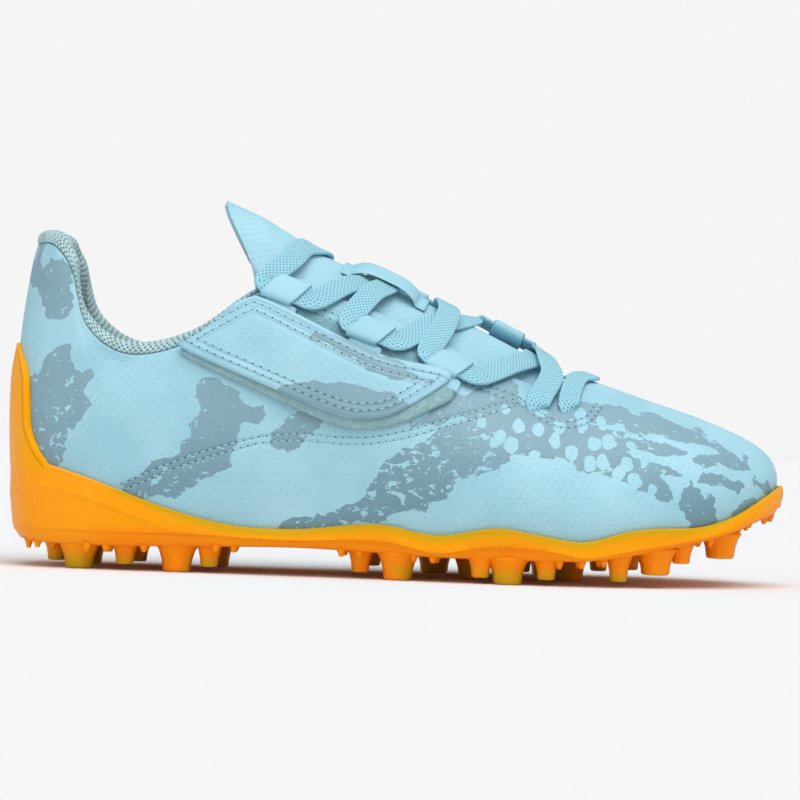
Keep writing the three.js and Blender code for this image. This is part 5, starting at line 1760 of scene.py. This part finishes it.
def woven_elastic(name, width):
    finish = Finish(name)
    along, around, _ = finish.parts(finish.laid())
    from_middle = abs(abs(around - (width + LACE_THICKNESS)) - (width + LACE_THICKNESS) / 2)
    turns = 2 * math.pi / RIB_PITCH
    right = finish.sum_of("SINE", (along * 0.9 + from_middle) * turns)
    left = finish.sum_of("SINE", (along * 0.9 - from_middle) * turns)
    rib = right * 0.25 + left * 0.25 + 0.5
    pit = finish.ease(rib, 0.2, 0.08) * finish.ease(from_middle, width * 0.45, width * 0.39)
    fuzz = finish.noise(0.25, detail=3, rough=0.7)
    # The tone follows the ribs, darker between them: painted shade in the weave's troughs.
    colour = finish.blend(rib * 0.6 + fuzz * 0.4, paint(122, 186, 205), paint(168, 216, 228))
    # The pits are painted dark: painted shade in the open holes between the yarns.
    colour = finish.blend(pit * 0.8, colour, paint(40, 112, 136))
    height = rib * 0.2 + fuzz * 0.06 - pit * 0.1
    return finish.surface_is(
        height, Base_Color=colour, Roughness=0.74, Specular_IOR_Level=0.3, Sheen_Weight=0.12
    )


lace_weave = woven_elastic("lace_weave", LACE_WIDTH)
bar_weave = woven_elastic("lace_bar_weave", LACE_WIDTH * BAR_NARROWER)
print("elastics:", lace_weave.name, bar_weave.name)

# %% [markdown]
# ## Every piece gets its finish
# The pieces are joined by look, not by place: every tab and loop is cut from the same plain
# leather, and the stitches share one thread. A piece with two materials has its lining or its
# needle holes as the second.

# %% Every piece gets its finish
wears(upper, printed_leather, lining_mesh)
wears(tongue, tongue_skin, lining_mesh)
wears(strap, wing_leather)
wears(strap_base, wing_felt)
wears(collar, collar_mesh)
wears(insole, foam_cover)
wears(cap, heel_cap_amber)
wears(sole, sole_moulding)
wears(studs, stud_moulding)
wears(nubs, stud_moulding)
wears(lace, lace_weave)
wears(lace_bar, bar_weave)
wears(keeper, tab_leather)
wears(upper_seams, sewing_thread, needle_hole)
wears(wing_seams, sewing_thread, needle_hole)
wears(pile, pile_cloth)
for piece in loops:
    wears(piece, tab_leather)

# %% [markdown]
# ## The studio
# The photo shows the shoe on a white sweep with almost no horizon. A curved backdrop could be
# built, but a wide matt floor, a plain light wall far behind it and one very soft key above give
# the same even white. The floor is matt so that it doesn't shine at the camera's low angle, and
# only the camera sees the wall, so that its glow doesn't light the far floor.

# %% Floor and wall
FLOOR_SIZE = 6
WALL_AWAY = 3.2
PALE = 0.78
WALL_GLOW = 0.913


def plain_sheet(name, size, matrix):
    form = bmesh.new()
    bmesh.ops.create_grid(form, x_segments=1, y_segments=1, size=size, matrix=matrix)
    sheet = finished(name, form)
    return sheet


floor = plain_sheet("studio_floor", FLOOR_SIZE, Matrix.Identity(4))
UPRIGHT = Matrix.Rotation(math.radians(90), 4, "X")
wall = plain_sheet("studio_wall", FLOOR_SIZE, Matrix.Translation((0, WALL_AWAY, 0)) @ UPRIGHT)
floor_look = Finish("studio_floor_white").surface_is(
    None, Base_Color=(PALE, PALE, PALE), Roughness=1.0, Specular_IOR_Level=0.0
)
wears(floor, floor_look)
wall.visible_diffuse = wall.visible_glossy = False
wall_look = Finish("studio_wall_white").surface_is(
    None, Base_Color=(0, 0, 0), Roughness=1.0, Specular_IOR_Level=0.0,
    Emission_Color=(WALL_GLOW, WALL_GLOW, WALL_GLOW), Emission_Strength=1.0,
)
wears(wall, wall_look)

# %% [markdown]
# ## Light
# Sun lamps with a wide angle act as huge softboxes, and light the floor evenly to its far edge.
# Area lamps are nearer to a real softbox, but their light falls off along so wide a floor.

# %% Soft light
WORLD_TINT = (0.95, 0.975, 1.0, 1)
WORLD_STRENGTH = 0.53


def soft_sun(name, direction, angle, strength):
    light = bpy.data.lights.new(name, "SUN")
    light.angle = math.radians(angle)
    light.energy = strength
    lamp = bpy.data.objects.new(name, light)
    bpy.context.scene.collection.objects.link(lamp)
    lamp.location = (0, 0, 2)
    lamp.rotation_mode = "QUATERNION"
    lamp.rotation_quaternion = Vector(direction).to_track_quat("-Z", "Y")
    return lamp


soft_sun("key_light", (-0.15, 0.38, -1), 55, 2.1)
soft_sun("fill_light", (0.25, 0.9, -0.3), 80, 0.45)
world = bpy.data.worlds.new("studio")
world.use_nodes = True
around = world.node_tree.nodes["Background"].inputs
around["Color"].default_value = WORLD_TINT
around["Strength"].default_value = WORLD_STRENGTH
bpy.context.scene.world = world

# %% [markdown]
# ## Camera
# The camera looks level from the outer side at the height of the shoe's middle. Its distance and
# focal length give the photo's 3.44 pixels for a millimetre. The shoe leans a little in the
# photo, and a roll of the camera shows that without tilting the model off its floor.

# %% Camera
CAMERA_DISTANCE = 1100
CAMERA_HEIGHT = 51
PIXELS_PER_MM = 3.438
FRAME_PIXELS = 800
ROLL = 1.86
camera_data = bpy.data.cameras.new("camera")
camera_data.sensor_width = 36
camera_data.lens = camera_data.sensor_width * CAMERA_DISTANCE * PIXELS_PER_MM / FRAME_PIXELS
camera_data.clip_end = 50
camera = bpy.data.objects.new("camera", camera_data)
bpy.context.scene.collection.objects.link(camera)
stand = Matrix.Translation((0, -CAMERA_DISTANCE * MM, CAMERA_HEIGHT * MM))
camera.matrix_basis = stand @ UPRIGHT @ Matrix.Rotation(math.radians(ROLL), 4, "Z")
bpy.context.scene.camera = camera
bpy.context.scene.view_settings.view_transform = "Standard"
print("the camera's lens is", round(camera_data.lens, 1), "mm")
